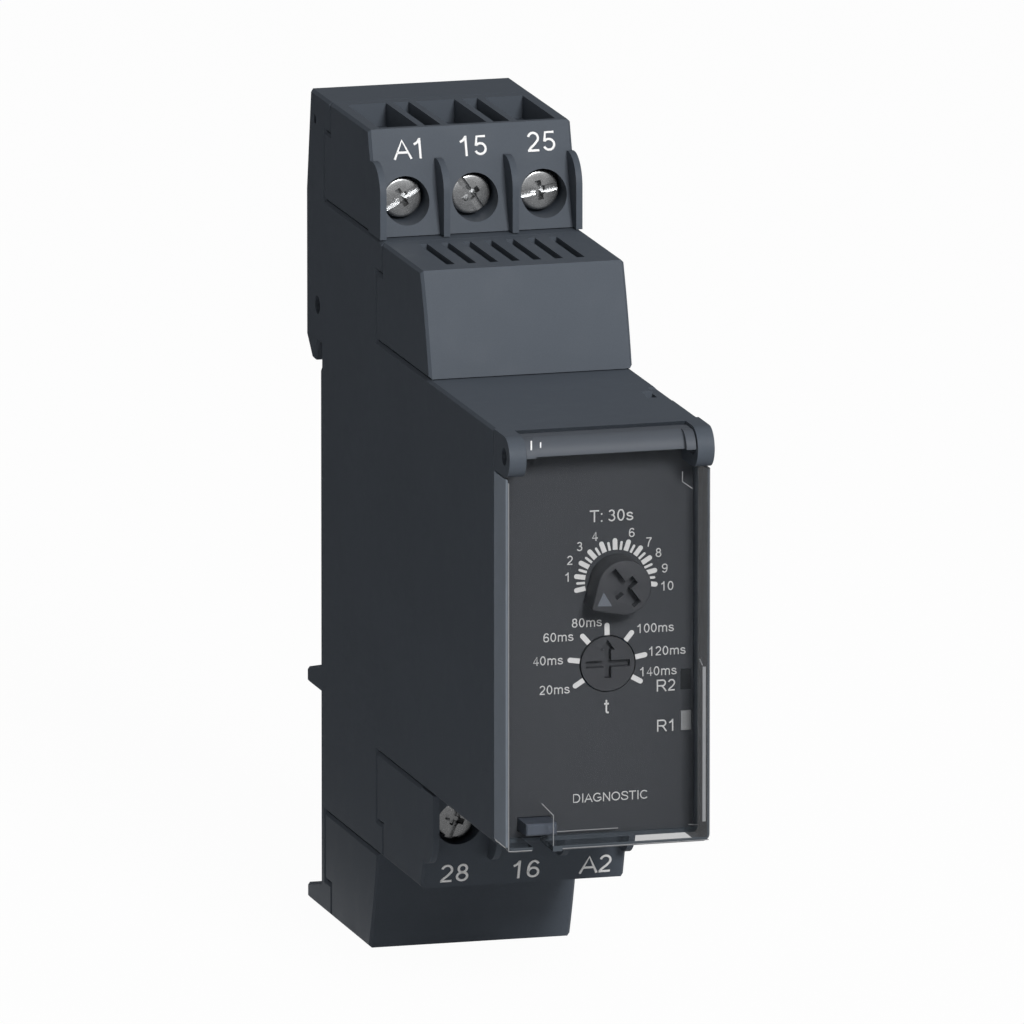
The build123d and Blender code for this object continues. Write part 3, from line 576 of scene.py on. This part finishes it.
# A smooth line through the given points
def flowing(*points):
    ends = [points[0], *points, points[-1]]
    line = []
    for a, b, c, d in zip(ends, ends[1:], ends[2:], ends[3:]):
        for step in range(strokeLook["flowSteps"]):
            u = step / strokeLook["flowSteps"]
            line.append(tuple(
                b[k] + 0.5 * u * (c[k] - a[k] + u * (2 * a[k] - 5 * b[k] + 4 * c[k] - d[k]
                + u * (3 * b[k] - a[k] - 3 * c[k] + d[k])))
                for k in (0, 1)
            ))
    return [*line, points[-1]]


# Letters as pen strokes, in cap heights: the advance and the strokes' centre lines
sixLoop = bow(0.37, 0.31, 0.255, 0.245, 0, 360)
sixBack = [(0.115, 0.31), *bow(0.39, 0.5, 0.275, 0.435, 180, 40)]
glyphs = {
    "0": (0.776, [bow(0.37, 0.5, 0.255, 0.435, 0, 360)]),
    "1": (0.776, [flowing((0.13, 0.70), (0.30, 0.80), (0.42, 0.95)), [(0.42, 0), (0.42, 1)]]),
    "2": (0.776, [
        [*bow(0.36, 0.68, 0.25, 0.255, 165, -25),
         *flowing((0.56, 0.54), (0.42, 0.38), (0.22, 0.21), (0.11, 0.065))],
        [(0.06, 0.065), (0.63, 0.065)],
    ]),
    "3": (0.776, [
        [*bow(0.35, 0.725, 0.215, 0.21, 155, -80), (0.30, 0.515)],
        [(0.30, 0.52), *bow(0.36, 0.295, 0.255, 0.23, 85, -158)],
    ]),
    "4": (0.776, [[(0.50, 0), (0.50, 0.92), (0.10, 0.29), (0.70, 0.29)]]),
    "5": (0.776, [
        [(0.64, 0.935), (0.21, 0.935), (0.14, 0.48)],
        bow(0.36, 0.33, 0.265, 0.265, 140, -158),
    ]),
    "6": (0.776, [sixLoop, sixBack]),
    "7": (0.776, [
        [(0.08, 0.935), (0.66, 0.935)],
        flowing((0.64, 0.92), (0.46, 0.64), (0.34, 0.33), (0.29, 0)),
    ]),
    "8": (0.776, [
        bow(0.37, 0.73, 0.205, 0.205, 0, 360),
        bow(0.37, 0.29, 0.255, 0.225, 0, 360),
    ]),
    "9": (0.776, [
        [(0.74 - x, 1 - y) for x, y in sixLoop],
        [(0.74 - x, 1 - y) for x, y in sixBack],
    ]),
    "A": (0.93, [[(0.04, 0), (0.465, 0.93), (0.89, 0)], [(0.19, 0.33), (0.74, 0.33)]]),
    "R": (1.0, [
        [(0.15, 0), (0.15, 1)],
        [(0.15, 0.935), (0.55, 0.935), *bow(0.6, 0.70, 0.225, 0.235, 90, -90), (0.15, 0.465)],
        [(0.48, 0.465), (0.62, 0.38), (0.89, 0)],
    ]),
    "T": (0.853, [[(0.03, 0.935), (0.82, 0.935)], [(0.425, 0.935), (0.425, 0)]]),
    "D": (1.0, [
        [(0.15, 0.065), (0.15, 0.935), (0.45, 0.935), *bow(0.47, 0.5, 0.38, 0.435, 90, -90),
         (0.15, 0.065)],
    ]),
    "I": (0.388, [[(0.195, 0), (0.195, 1)]]),
    "G": (1.086, [
        [*bow(0.54, 0.5, 0.43, 0.435, 42, 320), (0.95, 0.21), (0.95, 0.46)],
        [(0.56, 0.46), (0.98, 0.46)],
    ]),
    "N": (1.0, [[(0.15, 0), (0.15, 1)], [(0.16, 0.95), (0.83, 0.05)], [(0.84, 0), (0.84, 1)]]),
    "O": (1.086, [bow(0.54, 0.5, 0.43, 0.435, 0, 360)]),
    "S": (0.93, [flowing(
        (0.79, 0.71), (0.74, 0.84), (0.61, 0.925), (0.44, 0.935), (0.25, 0.89), (0.16, 0.73),
        (0.27, 0.59), (0.47, 0.52), (0.70, 0.45), (0.82, 0.28), (0.71, 0.12), (0.48, 0.065),
        (0.25, 0.09), (0.13, 0.20), (0.10, 0.33),
    )]),
    "C": (1.0, [bow(0.52, 0.5, 0.42, 0.435, 42, 318)]),
    "m": (1.163, [
        [(0.16, 0), (0.16, 0.72)],
        [*bow(0.37, 0.46, 0.21, 0.205, 180, 10), (0.58, 0)],
        [*bow(0.80, 0.46, 0.21, 0.205, 180, 10), (1.01, 0)],
    ]),
    "s": (0.698, [flowing(
        (0.56, 0.52), (0.50, 0.62), (0.34, 0.66), (0.19, 0.62), (0.14, 0.53), (0.20, 0.43),
        (0.36, 0.375), (0.54, 0.31), (0.59, 0.20), (0.52, 0.10), (0.34, 0.065), (0.17, 0.11),
        (0.10, 0.21),
    )]),
    "t": (0.388, [
        flowing((0.19, 0.92), (0.19, 0.5), (0.19, 0.17), (0.24, 0.07), (0.36, 0.06)),
        [(0.04, 0.66), (0.36, 0.66)],
    ]),
    ":": (0.388, [[(0.19, 0), (0.19, 0.13)], [(0.19, 0.59), (0.19, 0.72)]]),
}


# Lines as one mesh of round bars: each line's points, and whether it closes
def barMesh(lines, radius, corners=1):
    curve = bpy.data.curves.new("bars", "CURVE")
    curve.dimensions = "3D"
    curve.bevel_depth = radius
    curve.bevel_resolution = corners
    curve.use_fill_caps = True
    for points, closed in lines:
        line = curve.splines.new("POLY")
        line.points.add(len(points) - 1)
        for point, place in zip(line.points, points):
            point.co = (*place, 1)
        line.use_cyclic_u = closed
    holder = bpy.data.objects.new("bars", curve)
    mesh = bpy.data.meshes.new_from_object(holder)
    bpy.data.objects.remove(holder)
    bpy.data.curves.remove(curve)
    return mesh


# A bmesh made a mesh
def meshOf(shape, name):
    mesh = bpy.data.meshes.new(name)
    shape.to_mesh(mesh)
    shape.free()
    return mesh


# A flat outline carried along a vector, as a bmesh
def prism(corners, carry):
    shape = bmesh.new()
    face = shape.faces.new([shape.verts.new(corner) for corner in corners])
    grown = bmesh.ops.extrude_face_region(shape, geom=[face])
    moved = [part for part in grown["geom"] if isinstance(part, bmesh.types.BMVert)]
    bmesh.ops.translate(shape, verts=moved, vec=carry)
    bmesh.ops.recalc_face_normals(shape, faces=shape.faces)
    return shape


# Lengths in metres; a stroke's weight is a share of the cap height
printing = {
    "depth": 0.00004,
    "lift": 0.00001,
    "weight": 0.125,
    "terminalHeight": 0.0022,
    "terminalLift": 0.00002,
    "terminalWeight": 0.132,
}


# A flat word as a mesh, its middle at the origin, reading along X in the plane of X and Y
def wordMesh(word, capHeight, weight):
    lines = []
    pen = 0
    for letter in word:
        advance, strokes = glyphs[letter]
        for stroke in strokes:
            ring = (Vector(stroke[0]) - Vector(stroke[-1])).length < strokeLook["closes"]
            points = stroke[:-1] if ring else stroke
            places = [((pen + x) * capHeight, y * capHeight, 0) for x, y in points]
            lines.append((places, ring))
        pen += advance
    mesh = barMesh(lines, capHeight * weight / 2)
    across = [vertex.co.x for vertex in mesh.vertices]
    middle = (max(across) + min(across)) / 2
    flat = Matrix.Diagonal((1, 1, printing["depth"] / (capHeight * weight), 1))
    mesh.transform(flat @ Matrix.Translation((-middle, -capHeight / 2, 0)))
    return mesh


roundEnd = [radians(step) for step in range(-72, 90, 18)]


# A flat bar from inner to outer along X, its outer end round
def tickMesh(inner, outer, breadth):
    half = breadth / 2
    corners = [(inner, -half), (outer - half, -half)]
    corners += [(outer - half + half * cos(turn), half * sin(turn)) for turn in roundEnd]
    corners += [(outer - half, half), (inner, half)]
    depth = printing["depth"]
    return meshOf(prism([(x, y, -depth / 2) for x, y in corners], (0, 0, depth)), "tick")


facesFront = Matrix.Rotation(radians(90), 4, "X")


def printed(name, mesh, spot, material, lean=0.0, roll=0.0):
    turn = Matrix.Rotation(lean, 4, "X") @ facesFront @ Matrix.Rotation(roll, 4, "Z")
    mesh.transform(Matrix.Translation(spot) @ turn)
    newPiece(name, mesh, material)


# Words on the front plate: name, word, x, z and cap height, all in millimetres
plateWords = [
    ("timeMark", "T:", -0.02, 12.4, 1.29),
    ("tenSecondMark", "30s", 2.7, 12.38, 1.29),
    ("stepMark", "t", 1.14, -8.27, 1.6),
    ("relayTwoMark", "R2", 7.69, -6.37, 1.29),
    ("relayOneMark", "R1", 7.61, -10.73, 1.29),
    ("one", "1", -3.22, 5.97, 1.0),
    ("two", "2", -2.89, 7.78, 1.0),
    ("three", "3", -1.83, 9.21, 1.0),
    ("four", "4", -0.16, 10.23, 1.0),
    ("six", "6", 3.91, 10.41, 1.0),
    ("seven", "7", 5.81, 9.28, 1.0),
    ("eight", "8", 6.85, 8.07, 1.0),
    ("nine", "9", 7.54, 6.34, 1.0),
    ("ten", "10", 7.82, 4.41, 1.0),
    ("ms80", "80ms", -1.03, 0.94, 1.0),
    ("ms60", "60ms", -4.16, -0.47, 1.0),
    ("ms40", "40ms", -5.31, -2.95, 1.0),
    ("ms20", "20ms", -4.57, -6.14, 1.0),
    ("ms100", "100ms", 6.54, -0.05, 1.0),
    ("ms120", "120ms", 7.83, -2.59, 1.0),
    ("ms140", "140ms", 6.85, -4.76, 1.0),
    ("buttonMark", "DIAGNOSTIC", 1.56, -18.1, 0.97),
]
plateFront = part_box("front_plate")[0].y - printing["lift"]
for name, word, x, z, size in plateWords:
    mesh = wordMesh(word, size / 1000, printing["weight"])
    printed("print_" + name, mesh, (x / 1000, plateFront, z / 1000), plateInk)

# Scale marks round both dials: a middle on x and z, lengths in metres, turns in degrees
timeScale = {
    "centre": (0.00215, 0.00525),
    "inner": 0.0034,
    "outer": 0.00465,
    "breadth": 0.00052,
    "first": 190.2,
    "step": -19.8,
    "halfShorter": 0.0003,
}
stepScale = {
    "centre": (0.00125, -0.00367),
    "inner": 0.0031,
    "outer": 0.00445,
    "breadth": 0.00055,
    "first": 211.8,
    "step": -40.3,
}


def scaleMark(name, scale, place, shorter=0.0, thin=1.0):
    mesh = tickMesh(scale["inner"], scale["outer"] - shorter, scale["breadth"] * thin)
    turn = radians(scale["first"] + scale["step"] * place)
    x, z = scale["centre"]
    printed(name, mesh, (x, plateFront, z), plateInk, roll=turn)


for place in range(11):
    scaleMark(f"timeTick_{place}", timeScale, place)
    if place:
        half = place - 0.5
        scaleMark(f"timeHalf_{place}", timeScale, half, timeScale["halfShorter"], 0.5)
for place in range(7):
    scaleMark(f"stepTick_{place}", stepScale, place)

# The leaning faces: an edge's y and z, and which way the face leans by 3.5 in 11.25
terminalFaces = {
    "upper": {"y": -0.0199, "z": 0.045, "way": 1},
    "lower": {"y": -0.0412, "z": -0.03375, "way": -1},
}
faceSlope = 0.0035 / 0.01125
# Terminal marks: word, x and z in millimetres, and the face
terminalWords = [
    ("A1", -7.14, 42.83, "upper"),
    ("15", 0.22, 42.81, "upper"),
    ("25", 7.81, 42.87, "upper"),
    ("28", -7.66, -32.15, "lower"),
    ("16", 0.29, -32.2, "lower"),
    ("A2", 7.97, -32.1, "lower"),
]
for word, x, z, where in terminalWords:
    mesh = wordMesh(word, printing["terminalHeight"], printing["terminalWeight"])
    face = terminalFaces[where]
    y = face["y"] - face["way"] * (face["z"] - z / 1000) * faceSlope
    spot = (x / 1000, y - printing["terminalLift"], z / 1000)
    lean = -face["way"] * asin(faceSlope)
    printed("mark_" + word, mesh, spot, terminalInkAndGlint, lean=lean)
print("printing done")


# A mesh less the given cutters, in one exact cut: cuts one after another differ from run to
# run in the last vertices, because floors of equal depth no longer match exactly
def carved(mesh, cutters):
    holder = bpy.data.objects.new("blank", mesh)
    bpy.context.scene.collection.objects.link(holder)
    tools = bpy.data.collections.new("cutters")
    bpy.context.scene.collection.children.link(tools)
    for cutter in cutters:
        tools.objects.link(bpy.data.objects.new("cutter", cutter))
    cut = holder.modifiers.new("cut", "BOOLEAN")
    cut.operation = "DIFFERENCE"
    cut.solver = "EXACT"
    cut.operand_type = "COLLECTION"
    cut.collection = tools
    bpy.context.view_layer.update()
    graph = bpy.context.evaluated_depsgraph_get()
    result = bpy.data.meshes.new_from_object(holder.evaluated_get(graph))
    for made in [holder, *tools.objects]:
        bpy.data.objects.remove(made)
    bpy.data.collections.remove(tools)
    return result


# How far a cutter starts before the face it cuts
cutterReach = 0.001


# A slot cutter that narrows towards its floor, turned about an axis along Y
def slotCutter(centre, front, look, turn):
    shape = bmesh.new()
    bmesh.ops.create_cube(shape, size=1.0)
    for corner in shape.verts:
        narrow = look["taper"] if corner.co.y > 0 else 1.0
        corner.co.x *= look["length"] * (narrow if look["endTaper"] else 1.0)
        corner.co.z *= look["width"] * narrow
        corner.co.y = front + (look["depth"] if corner.co.y > 0 else -cutterReach)
    turned = Matrix.Translation((centre[0], 0, centre[1])) @ Matrix.Rotation(turn, 4, "Y")
    bmesh.ops.transform(shape, matrix=turned, verts=shape.verts)
    bmesh.ops.recalc_face_normals(shape, faces=shape.faces)
    return meshOf(shape, "slot")


# Terminal screws: rolled rim, shallow dome, grooved shank, how each head is turned
screwLook = {
    "rim": 0.00032,
    "rimSteps": 5,
    "dome": 0.00006,
    "domeSteps": 5,
    "shank": 0.0015,
    "core": 0.00128,
    "head": 0.0017,
    "pitch": 0.0005,
    "steps": 56,
    "weld": 0.0000001,
    "crease": 28,
    "turns": (30, -55, 10, 70, 15, -20),
}
# A flared slot, a cross recess and the cross's fine corner cuts
cornerCut = {"length": 0.0019, "width": 0.0003, "depth": 0.0007, "taper": 0.5, "endTaper": True}
screwSlots = (
    {"length": 0.0056, "width": 0.00098, "depth": 0.0007, "taper": 0.75, "endTaper": False},
    {"length": 0.0009, "width": 0.0029, "depth": 0.0011, "taper": 0.45, "endTaper": True},
    {"length": 0.0029, "width": 0.0009, "depth": 0.0011, "taper": 0.45, "endTaper": True},
    {**cornerCut, "turn": 45},
    {**cornerCut, "turn": -45},
)


# The half outline of a screw: radius and y, from the tip of the shank to the middle of the head
def screwOutline(low, high, look):
    front, under = low.y, low.y + look["head"]
    radius = (high.x - low.x) / 2
    line = [(0, high.y), (look["core"], high.y)]
    place = high.y - look["pitch"] / 2
    while place > under + look["pitch"]:
        line += [(look["shank"], place), (look["core"], place - look["pitch"] / 2)]
        place -= look["pitch"]
    line += [(look["core"], under), (radius, under)]
    rim, dome = look["rim"], look["dome"]
    for step in range(look["rimSteps"] + 1):
        angle = radians(90 * step / look["rimSteps"])
        line.append((radius - rim + rim * cos(angle), front + dome + rim - rim * sin(angle)))
    inner = radius - rim
    for step in range(1, look["domeSteps"] + 1):
        share = step / look["domeSteps"]
        line.append((inner * (1 - share), front + dome * (1 - share) ** 2))
    return line


# The outline turned round the screw's axis, less its slots; turn in degrees
def screwMesh(low, high, look, turn):
    centre = ((low.x + high.x) / 2, (low.z + high.z) / 2)
    shape = bmesh.new()
    line = [shape.verts.new((centre[0] + radius, y, centre[1]))
            for radius, y in screwOutline(low, high, look)]
    edges = [shape.edges.new(pair) for pair in zip(line, line[1:])]
    axle = (centre[0], 0, centre[1])
    bmesh.ops.spin(shape, geom=[*line, *edges], cent=axle, axis=(0, 1, 0), dvec=(0, 0, 0),
                   angle=radians(360), steps=look["steps"], use_merge=True)
    bmesh.ops.remove_doubles(shape, verts=shape.verts, dist=look["weld"])
    bmesh.ops.recalc_face_normals(shape, faces=shape.faces)
    cutters = [
        slotCutter(centre, low.y, slot, radians(slot.get("turn", 0) - turn))
        for slot in screwSlots
    ]
    return carved(meshOf(shape, "screw"), cutters)


# Smooth shading, but for edges that turn by the angle or more
def sharpen(mesh, angle):
    shape = bmesh.new()
    shape.from_mesh(mesh)
    for face in shape.faces:
        face.smooth = True
    for edge in shape.edges:
        edge.smooth = edge.calc_face_angle(0) < radians(angle)
    shape.to_mesh(mesh)
    shape.free()


for number in range(1, 7):
    node = f"terminal_screw_{number}"
    mesh = screwMesh(*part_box(node), screwLook, screwLook["turns"][number - 1])
    sharpen(mesh, screwLook["crease"])
    steel = screwSteels[number - 1]
    screw = newPiece(f"screwHead_{number}", mesh, steel, f"screw_{number}")
    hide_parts(node)
print("screws made")

# Time dial: a disc and its pointer in one outline, a crossed slot, and a mark on the
# pointer; its middle and mark on x and z, turns in degrees
dialLook = {
    "centre": (0.00215, 0.00525),
    "radius": 0.00295,
    "steps": 44,
    "angle": 212,
    "reach": 0.00416,
    "nose": 0.0003,
    "noseSteps": 6,
    "front": -0.074,
    "back": -0.07055,
    "edge": 0.00016,
    "edgeSteps": 3,
    "turn": 37,
    "crease": 35,
    "mark": ((-0.00018, 0.00488), (-0.00086, 0.00342), (0.00075, 0.00334)),
    "markLift": 0.00001,
}
dialSlots = (
    {"length": 0.0029, "width": 0.001, "depth": 0.0012, "taper": 0.98, "endTaper": True},
    {"length": 0.001, "width": 0.0047, "depth": 0.0012, "taper": 0.98, "endTaper": True},
)


# The disc's arc between the pointer's two tangents, then the pointer's round tip
def dialOutline(look):
    x, z = look["centre"]
    radius, reach, nose = look["radius"], look["reach"], look["nose"]
    foot = radius * radius / reach
    half = asin((1 - (foot / radius) ** 2) ** 0.5)
    tip = radians(look["angle"])
    sweep = radians(360) - 2 * half
    turns = [tip + half + sweep * step / look["steps"] for step in range(look["steps"] + 1)]
    outline = [(x + radius * cos(turn), z + radius * sin(turn)) for turn in turns]
    x, z = x + (reach - nose) * cos(tip), z + (reach - nose) * sin(tip)
    middle = look["noseSteps"] / 2
    turns = [tip - half * (1 - step / middle) for step in range(look["noseSteps"] + 1)]
    return outline + [(x + nose * cos(turn), z + nose * sin(turn)) for turn in turns]


def dialMesh(look):
    front, back = look["front"], look["back"]
    shape = prism([(x, back, z) for x, z in dialOutline(look)], (0, front - back, 0))
    near = look["edge"] / 100
    rim = [edge for edge in shape.edges
           if all(abs(corner.co.y - front) < near for corner in edge.verts)]
    bmesh.ops.bevel(shape, geom=rim, offset=look["edge"], segments=look["edgeSteps"],
                    profile=0.5, affect="EDGES", material=-1)
    cutters = [
        slotCutter(look["centre"], front, slot, -radians(look["turn"]))
        for slot in dialSlots
    ]
    return carved(meshOf(shape, "dial"), cutters)


mesh = dialMesh(dialLook)
sharpen(mesh, dialLook["crease"])
timeDial = newPiece("timeDial", mesh, dialPlastic, "time_dial")
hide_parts("time_knob")
shape = bmesh.new()
markFront = dialLook["front"] - dialLook["markLift"]
shape.faces.new([shape.verts.new((x, markFront, z)) for x, z in dialLook["mark"]])
newPiece("dialMark", meshOf(shape, "dialMark"), pointerInk, "time_dial")
print("time dial made")

# Latch spring: a coil of round wire, its wire and radius in metres
springLook = {
    "wire": 0.00025,
    "wireCorners": 3,
    "turns": 5,
    "turnSteps": 24,
    "radius": 0.0013,
    "crease": 60,
    "keep": 0.625,
}
low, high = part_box("latch_spring")
middle = ((low.x + high.x) / 2, (low.y + high.y) / 2)
wire, radius = springLook["wire"], springLook["radius"]
steps = springLook["turns"] * springLook["turnSteps"]
coil = []
for step in range(steps + 1):
    angle = radians(360 / springLook["turnSteps"] * step)
    x, y = middle[0] + radius * cos(angle), middle[1] + radius * sin(angle)
    coil.append((x, y, low.z + wire + (high.z - low.z - 2 * wire) * (step / steps)))
mesh = barMesh([(coil, False)], wire, springLook["wireCorners"])
sharpen(mesh, springLook["crease"])
spring = newPiece("latchSpring", mesh, springSteel)
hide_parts("latch_spring")
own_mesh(spring)

# Light caught in the cover's edges, as fine bars at its skin: x, y and z in millimetres
gleamRadius = 0.00006
gleams = [
    [(-11.02, -75.42, -22.2), (-11.02, -75.42, 17.6)],
    [(-11.02, -75.42, -22.27), (-8.45, -75.42, -22.27)],
    [(-6.05, -75.42, -22.27), (11.0, -75.42, -22.27)],
    [(-6.12, -75.5, -22.2), (-6.12, -75.5, -18.6), (-7.4, -75.5, -17.25)],
    [(-6.0, -71.2, -21.4), (2.2, -71.2, -21.4)],
    [(9.75, -72.0, -21.3), (10.7, -72.4, -21.3)],
    [(8.3, -74.55, 17.6), (8.3, -74.55, 16.5), (9.4, -74.55, 15.7)],
    [(-11.1, -71.0, -22.2), (-11.1, -71.0, 17.6)],
    [(10.1, -75.0, -2.7), (10.4, -75.0, -3.4)],
]
# Two glints on the roll, each of two bars side by side: y and z along a bar, and its x at
# the second point. The slant makes them upright in the picture.
glintSlant = 0.277
longGlint = [(-76.19, 21.2), (-76.07, 21.4), (-75.9, 21.62), (-75.69, 21.82), (-75.38, 22.0)]
shortGlint = [(-75.4, 21.22), (-75.29, 21.39), (-75.11, 21.6), (-75.0, 21.71)]
glintPlaces = [(-8.75, longGlint), (-8.69, longGlint), (-7.51, shortGlint), (-7.47, shortGlint)]
glints = [
    [(x + glintSlant * (y - line[1][0]), y, z) for y, z in line] for x, line in glintPlaces
]


def gleamPiece(name, places, material):
    lines = [([tuple(part / 1000 for part in point) for point in line], False) for line in places]
    newPiece(name, barMesh(lines, gleamRadius), material, "cover")


# Both pieces are painted highlights: light-coloured bars standing in for light caught in the
# cover's edges and on its roll
gleamPiece("coverEdgeHighlights", gleams, edgeGleam)
gleamPiece("coverGlints", glints, terminalInkAndGlint)

# A painted reflection: the strip of light inside the cover's right wall, as a thin box in the
# gleam colour: middle and size in metres
lightStripLook = {"middle": (0.01052, -0.0753, -0.0119), "size": (0.00036, 0.00004, 0.0168)}
shape = bmesh.new()
bmesh.ops.create_cube(shape, size=1.0)
placed = Matrix.Translation(lightStripLook["middle"]) @ Matrix.Diagonal((*lightStripLook["size"], 1))
bmesh.ops.transform(shape, matrix=placed, verts=shape.verts)
newPiece("coverLightStrip", meshOf(shape, "coverLightStrip"), edgeGleam, "cover")
print("cover edges made")

# Stage: lengths in metres, the camera's turn and height in degrees, its lens in millimetres,
# floorWhite as the share of plain white where the floor is seen
stageLook = {
    "target": (0.002065, -0.029582, 0.00433),
    "distance": 2.97545,
    "turn": 15.5,
    "height": 12.05,
    "lens": 974.5,
    "floorSize": 8.0,
    "floorDrop": 0.00005,
    "floorGrey": (0.8, 0.8, 0.8, 1),
    "floorWhite": 0.97,
    "ambient": 0.212,
}
scene = bpy.context.scene
scene.view_settings.view_transform = "Standard"
target = Vector(stageLook["target"])
turn, height = radians(stageLook["turn"]), radians(stageLook["height"])
away = Vector((-sin(turn) * cos(height), -cos(turn) * cos(height), sin(height)))
lens = bpy.data.cameras.new("camera")
lens.lens = stageLook["lens"]
camera = bpy.data.objects.new("camera", lens)
camera.location = target + away * stageLook["distance"]
camera.rotation_euler = (-away).to_track_quat("-Z", "Y").to_euler()
scene.collection.objects.link(camera)
scene.camera = camera


# 1 where a ray comes from the camera, a reflection or a clear piece
def seenMask(book):
    path = book.node("LightPath", {}, {})
    outputs = path.socket.node.outputs
    seen = [Wire(book, outputs[name]) for name in
            ("Is Camera Ray", "Is Glossy Ray", "Is Transmission Ray")]
    total = seen[0] + seen[1] + seen[2]
    return total.atMost(1.0)


# An object for the stage, and the emptied material that it wears
def stagePiece(name, mesh):
    material = bpy.data.materials.new(name + "Paint")
    mesh.materials.append(material)
    piece = bpy.data.objects.new(name, mesh)
    scene.collection.objects.link(piece)
    paint = NodeBook(material)
    paint.tree.nodes.clear()
    return piece, paint


shape = bmesh.new()
bmesh.ops.create_grid(shape, x_segments=1, y_segments=1, size=stageLook["floorSize"] / 2)
mesh = meshOf(shape, "floor")
mesh.transform(Matrix.Translation((0, 0, cadBox[0][2] - stageLook["floorDrop"])))
floor, paint = stagePiece("floor", mesh)
grey = paint.node("BsdfDiffuse", {}, {"Color": stageLook["floorGrey"]})
share = seenMask(paint) * stageLook["floorWhite"]
paint.show(paint.node("MixShader", {}, {0: share, 1: grey, 2: paint.glow(1.0)}))

# Flags that only reflections see, so that grazing faces stay dark: corners and how bright
flagLow, flagFar, flagHigh = -0.0448, 1.5, 2.0
flags = {
    "leftFlag": (0.0, [(-flagFar, -0.2, flagLow), (-0.02, -0.2, flagLow),
                       (-0.02, flagFar, flagLow), (-flagFar, flagFar, flagLow)]),
    "frontFlag": (0.35, [(-flagFar, -flagFar, flagLow), (flagFar, -flagFar, flagLow),
                         (flagFar, -0.03, flagLow), (-flagFar, -0.03, flagLow)]),
    "backFlag": (0.0, [(-flagFar, flagFar, flagLow), (flagFar, flagFar, flagLow),
                       (flagFar, flagFar, flagHigh), (-flagFar, flagFar, flagHigh)]),
}
for name, (glow, corners) in flags.items():
    card = bpy.data.meshes.new(name)
    card.from_pydata(corners, [], [(0, 1, 2, 3)])
    flag, paint = stagePiece(name, card)
    paint.show(paint.glow(glow))
    flag.visible_camera = False
    flag.visible_diffuse = False
    flag.visible_shadow = False
    flag.visible_transmission = False

world = bpy.data.worlds.new("room")
scene.world = world
room = NodeBook(world)
backing = room.tree.nodes["Background"]
backing.inputs["Color"].default_value = (1, 1, 1, 1)
ambient = stageLook["ambient"]
room.feed(backing.inputs["Strength"], ambient + (1 - ambient) * seenMask(room))

# Soft boxes, each turned to the camera's target: place, size and power
softBoxes = {
    "key": ((0.13, -1.4, 0.68), 0.32, 22.0),
    "top": ((0.1, -0.1, 1.4), 0.9, 0.3),
    "back": ((0.3, 1.3, 0.6), 0.8, 0.3),
}
for name, (spot, size, power) in softBoxes.items():
    light = bpy.data.lights.new(name, "AREA")
    light.shape = "SQUARE"
    light.size = size
    light.energy = power
    lamp = bpy.data.objects.new(name, light)
    lamp.location = spot
    lamp.rotation_euler = (target - Vector(spot)).to_track_quat("-Z", "Y").to_euler()
    scene.collection.objects.link(lamp)
print("stage set")
